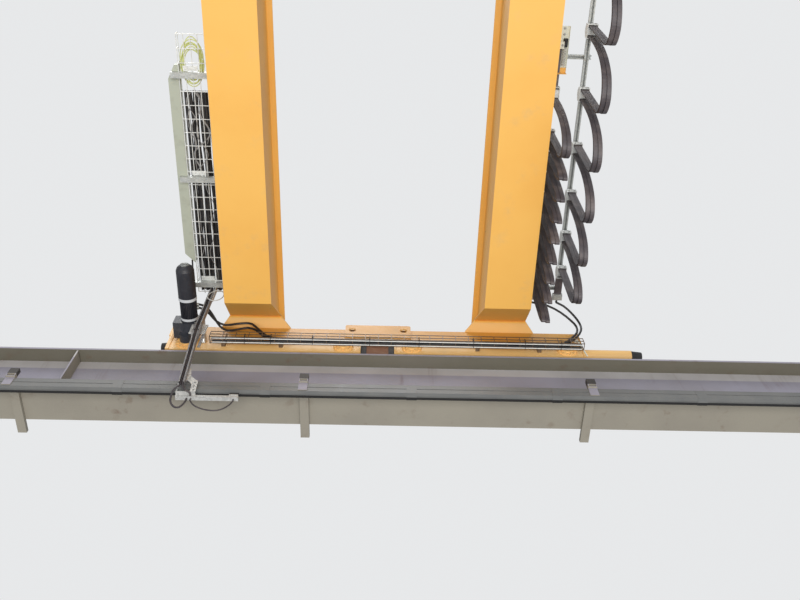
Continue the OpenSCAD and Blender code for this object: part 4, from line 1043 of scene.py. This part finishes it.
def saddle_plates():
    shape = bmesh.new()
    for x, y in CARRIERS:
        for side in (-1, 1):
            plate = bmesh.new()
            place = (x + side * PLATE_ASIDE, y, PLATE_Z)
            add_round(plate, place, (side, 0, 0), 2 * PLATE_RADIUS, PLATE_THICK, sides=20)
            bmesh.ops.bisect_plane(plate, geom=plate.verts[:] + plate.edges[:] + plate.faces[:],
                                   clear_outer=True, plane_co=(x, y, PLATE_CUT_Z), plane_no=(0, 0, 1))
            bmesh.ops.holes_fill(plate, edges=plate.edges[:])
            add_part(shape, plate)
    new_piece("saddle_plates", shape, "bright_zinc")


carrier_bolts()
saddle_plates()

# %% [markdown]
# The feed cables leave the motor's terminal box through glands: a hexagon nut and a dome with a sealing
# ring. The brake motor's cowl breathes through a round wire grille, and its flange is held by four bolts.

# %% Glands, grilles and motor bolts
BOX_SIDE = -1.416
MOTOR_X = -1.456
MOTOR_Z = 1.1703
COWL_END = 4.521
GLAND_YS = (4.930, 4.900)
GLAND_Z = 1.251
FLANGE_FACE = 4.991
FLANGE_BOLT_CIRCLE = 0.076
BOX_TOP = 1.2813
BOX_BOLT_XS = (-0.032, 0.032)
BOX_BOLT_YS = (4.852, 4.944)
GRILLE_RADII = (0.012, 0.022, 0.032)
GRILLE_WIRE = 0.003


def add_gland(shape, place, direction):
    add_round(shape, place, direction, 0.032, 0.008, sides=6)
    add_round(shape, Vector(place) + Vector(direction) * 0.008, direction, 0.028, 0.014, sides=16, tip=0.82)


def drive_details():
    shape = bmesh.new()
    for y in GLAND_YS:
        add_gland(shape, (BOX_SIDE, y, GLAND_Z), (1, 0, 0))
    for end in (-1, 1):
        add_bolt_circle(shape, (MOTOR_X, end * FLANGE_FACE, MOTOR_Z), FLANGE_BOLT_CIRCLE, 4, -end, SMALL_BOLT)
        for dx in BOX_BOLT_XS:
            for y in BOX_BOLT_YS:
                add_bolt(shape, (MOTOR_X + dx, end * y, BOX_TOP), (0, 0, 1), 0.005)
    new_piece("drive_details", shape, "bolt_steel")


def cowl_grilles():
    shape = bmesh.new()
    angles = [math.tau * step / 16 for step in range(16)]
    for end in (-1, 1):
        y = end * (COWL_END - GRILLE_WIRE / 2)
        rings = [[(MOTOR_X + radius * math.cos(angle), y, MOTOR_Z + radius * math.sin(angle))
                  for angle in angles] for radius in GRILLE_RADII]
        add_tubes(shape, rings, GRILLE_WIRE, sides=1, closed=True)
    new_piece("cowl_grilles", shape, "galvanised")


drive_details()
cowl_grilles()

# %% [markdown]
# Two thicker wires run along under the tray in front of the trucks. They are newer than the rest and
# shine. Each is one round bar, so a cylinder is enough.

# %% Long wires
LONG_WIRE = 0.008


def long_wires():
    low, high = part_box("carriage_tray_cables")
    tray_low, tray_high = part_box("carriage_tray")
    shape = bmesh.new()
    for y in (low[1] + 0.003, high[1] - 0.003):
        place = (tray_low[0] + 0.02, y, tray_low[2] - LONG_WIRE / 2)
        add_round(shape, place, (1, 0, 0), LONG_WIRE, tray_high[0] - tray_low[0] - 0.04, sides=8)
    new_piece("long_wires", shape, "bright_zinc")


long_wires()

# %% [markdown]
# A thin triangular plate stands at the right end of the far trucks, and holds the tray's end there. It is
# an outline of six corners, made thick by extruding it.

# %% End plate
END_PLATE = ((1.548, 1.205), (1.588, 1.236), (1.622, 0.985), (1.612, 0.985), (1.583, 1.195), (1.560, 1.190))
END_PLATE_Y = 5.137
END_PLATE_THICK = 0.004


def end_plate():
    shape = bmesh.new()
    outline = shape.faces.new([shape.verts.new((x, END_PLATE_Y, z)) for x, z in END_PLATE])
    made = bmesh.ops.extrude_face_region(shape, geom=[outline])["geom"]
    bmesh.ops.translate(shape, verts=corners_of(made), vec=(0, END_PLATE_THICK, 0))
    bmesh.ops.recalc_face_normals(shape, faces=shape.faces[:])
    new_piece("tray_end_plate", shape, "bright_cream")


end_plate()

# %% [markdown]
# The motor's own supply comes out of the trunking, hangs down behind the cowl and enters the top of the
# terminal box. At the top of the collector's strut a thin cable makes one loop before it goes down the
# channel.

# %% Supply and strut loop
SUPPLY = [(-1.470, 4.625, 1.480), (-1.470, 4.660, 1.476), (-1.466, 4.735, 1.440), (-1.460, 4.815, 1.385),
          (-1.456, 4.862, 1.345), (-1.456, 4.875, 1.315), (-1.456, 4.875, 1.281)]
LOOP_CENTRE = Vector((-1.262, 4.838, 1.262))
LOOP_RADIUS = 0.062
LOOP_STRETCH = 1.55
LOOP_DRIFT = 0.0012


def supply_cable():
    shape = bmesh.new()
    add_tubes(shape, [SUPPLY], 0.013, sides=3)
    add_gland(shape, SUPPLY[-1], (0, 0, 1))
    new_piece("motor_supply", shape, "black_jacket")


def strut_loop():
    ring = []
    for step in range(21):
        angle = math.radians(200 - 17.5 * step)
        ring.append((LOOP_CENTRE.x + LOOP_RADIUS * math.cos(angle), LOOP_CENTRE.y - LOOP_DRIFT * step,
                     LOOP_CENTRE.z + LOOP_STRETCH * LOOP_RADIUS * math.sin(angle)))
    shape = bmesh.new()
    add_tubes(shape, [ring], 0.007, sides=2)
    new_piece("strut_loop", shape, "white_plastic")


supply_cable()
strut_loop()

# %% [markdown]
# Black cable ties hold the cables in the tray in front of the trucks. A tie is one closed loop with a
# small head.

# %% Cable ties
TIE_XS = (-1.16, -1.02, -0.82, -0.50, -0.06, 0.32, 0.74, 1.14, 1.42)
TIE_TOP = 1.0955
TIE_ROOM = 0.006
TIE_WIDTH = 0.004
TIE_HEAD = 0.008


def cable_ties():
    low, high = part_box("carriage_tray_cables")
    near, far, under = low[1] - TIE_ROOM, high[1] + TIE_ROOM, low[2] - 0.0085
    corners = ((near, under), (far, under), (far, TIE_TOP), (near, TIE_TOP))
    shape = bmesh.new()
    for x in TIE_XS:
        add_box(shape, (x - TIE_HEAD / 2, near - TIE_HEAD, under + 0.004),
                (x + TIE_HEAD / 2, near, under + 0.014))
    add_tubes(shape, [[(x, y, z) for y, z in corners] for x in TIE_XS], TIE_WIDTH, sides=1, closed=True)
    new_piece("cable_ties", shape, "black_rubber")


cable_ties()

# %% [markdown]
# Under the cream anchor plate the near end of the inner festoon is clamped, and a pale spiral hose guards
# the thin wires that go on from there. The helix is worked out turn by turn. A yellow angle holds the
# plate's far end.

# %% Anchor plate details
HOSE_TURNS = 11
HOSE_PITCH = 0.011
HOSE_RADIUS = 0.012
HOSE_X = 1.273
HOSE_START = 2.925
HOSE_STEPS = 10
HOSE_WIRE = 0.005
PLATE_BOLT_X = 1.262
PLATE_BOLT_YS = (2.795, 2.835)
CABLE_CLAMP_XS = (-0.027, 0.027)
CABLE_CLAMP_Y = 0.125
PIPE_CLAMP_Y = 2.862
PIPE_CLAMP_WIDTH, PIPE_CLAMP_LENGTH = 0.032, 0.055
ANGLE_X = 1.180
ANGLE_THICK = 0.005
ANCHOR_LOW, ANCHOR_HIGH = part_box("festoon_anchor")
PLATE_UNDER = ANCHOR_HIGH[2] - 0.011


def anchor_bolts():
    shape = bmesh.new()
    for y in PLATE_BOLT_YS:
        add_bolt(shape, (PLATE_BOLT_X, y, PLATE_UNDER), (0, 0, -1), SMALL_BOLT)
    for dx in CABLE_CLAMP_XS:
        place = (TRACK_INNER + dx, ANCHOR_LOW[1] + CABLE_CLAMP_Y, ANCHOR_LOW[2])
        add_bolt(shape, place, (0, 0, -1), SMALL_BOLT)
    new_piece("anchor_bolts", shape, "bolt_steel")


def anchor_hose():
    middle = PLATE_UNDER - HOSE_RADIUS - 0.0035
    route = []
    for step in range(HOSE_TURNS * HOSE_STEPS + 1):
        angle = math.tau * step / HOSE_STEPS
        route.append((HOSE_X + HOSE_RADIUS * math.cos(angle), HOSE_START + HOSE_PITCH * step / HOSE_STEPS,
                      middle + HOSE_RADIUS * math.sin(angle)))
    shape = bmesh.new()
    add_tubes(shape, [route], HOSE_WIRE, sides=1)
    new_piece("anchor_hose", shape, "white_plastic")


def anchor_clamp():
    shape = bmesh.new()
    place = (HOSE_X, PIPE_CLAMP_Y, PLATE_UNDER - 0.018)
    add_round(shape, place, (0, 1, 0), PIPE_CLAMP_WIDTH, PIPE_CLAMP_LENGTH, sides=20, tip=0.92)
    add_bolt(shape, (HOSE_X, PIPE_CLAMP_Y + 0.010, PLATE_UNDER - 0.034), (0, 0, -1), CARRIER_BOLT)
    new_piece("anchor_clamp", shape, "black_rubber")


def anchor_angle():
    right, far = ANCHOR_HIGH[0], ANCHOR_HIGH[1]
    bend = PLATE_UNDER - ANGLE_THICK
    shape = bmesh.new()
    add_box(shape, (ANGLE_X, far - 0.040, bend), (right, far, PLATE_UNDER))
    add_box(shape, (ANGLE_X, far - ANGLE_THICK, PLATE_UNDER - 0.036), (right, far, bend))
    new_piece("anchor_angle", shape, "crane_paint")


anchor_bolts()
anchor_hose()
anchor_clamp()
anchor_angle()

# %% [markdown]
# The stage is a plain pale floor under a pale sky. The picture looks up through the floor, so the floor
# shows only from above: its back is clear, and other light passes it, which lights the crane's underside
# evenly.


# %% Floor
FLOOR_COLOUR = (0.80, 0.80, 0.79)
FLOOR_SIZE = 60
FLOOR_Z = -0.002


def show_mix(tree, share, first, second, output):
    """Sends a mix of two shaders to the output."""
    mixed = tree.nodes.new("ShaderNodeMixShader")
    connect(tree, share, mixed.inputs[0])
    tree.links.new(first.outputs[0], mixed.inputs[1])
    tree.links.new(second.outputs[0], mixed.inputs[2])
    tree.links.new(mixed.outputs[0], output.inputs["Surface"])


def floor_material():
    material = bpy.data.materials.new("floor")
    material.use_nodes = True
    tree = material.node_tree
    tree.nodes.clear()
    output = tree.nodes.new("ShaderNodeOutputMaterial")
    pale = tree.nodes.new("ShaderNodeBsdfDiffuse")
    connect(tree, FLOOR_COLOUR, pale.inputs["Color"])
    clear = tree.nodes.new("ShaderNodeBsdfTransparent")
    side = tree.nodes.new("ShaderNodeNewGeometry")
    light = tree.nodes.new("ShaderNodeLightPath")
    seen = Wire(tree, light.outputs["Is Camera Ray"]) + Wire(tree, light.outputs["Is Glossy Ray"])
    shown = seen.clamped() * (1 - Wire(tree, side.outputs["Backfacing"]))
    show_mix(tree, shown, clear, pale, output)
    return material


def make_floor():
    shape = bmesh.new()
    bmesh.ops.create_grid(shape, x_segments=1, y_segments=1, size=FLOOR_SIZE)
    mesh = bpy.data.meshes.new("floor")
    shape.to_mesh(mesh)
    shape.free()
    mesh.materials.append(floor_material())
    floor = add_object("floor", mesh)
    floor.location.z = FLOOR_Z


make_floor()

# %% [markdown]
# In the hall most light comes up from below and from the open side, so the undersides are bright and the
# webs between the girders stay in shade. One wide lamp does that. A second one high above stands for the
# roof's daylight, which shows in the other views, and the sky fills the rest.


# %% Light
SKY_LIGHT = (0.94, 0.97, 1.0)
SKY_STRENGTH = 0.44
SKY_SEEN = (0.80, 0.81, 0.82)
LAMP_WIDTH = 8.0
WARM_WHITE = (1.0, 0.98, 0.96)


def make_sky():
    world = bpy.data.worlds.new("sky")
    world.use_nodes = True
    tree = world.node_tree
    tree.nodes.clear()
    output = tree.nodes.new("ShaderNodeOutputWorld")
    lighting = tree.nodes.new("ShaderNodeBackground")
    connect(tree, SKY_LIGHT, lighting.inputs["Color"])
    lighting.inputs["Strength"].default_value = SKY_STRENGTH
    seen = tree.nodes.new("ShaderNodeBackground")
    connect(tree, SKY_SEEN, seen.inputs["Color"])
    path = tree.nodes.new("ShaderNodeLightPath")
    show_mix(tree, Wire(tree, path.outputs["Is Camera Ray"]), lighting, seen, output)
    bpy.context.scene.world = world


def make_lamp(name, place, target, power, colour=(1, 1, 1)):
    data = bpy.data.lights.new(name, "AREA")
    data.shape = "SQUARE"
    data.size = LAMP_WIDTH
    data.energy = power
    data.color = colour
    lamp = add_object(name, data)
    lamp.location = place
    lamp.rotation_mode = "QUATERNION"
    lamp.rotation_quaternion = (Vector(target) - Vector(place)).to_track_quat("-Z", "Y")


make_sky()
make_lamp("hall_lamp", (0.4, -2.0, -10.2), (0, 3.5, 1.0), 1430, WARM_WHITE)
make_lamp("roof_lamp", (-2.0, -1.5, 12.0), (0, 0, 1.0), 1100)
bpy.context.scene.view_settings.view_transform = "Standard"
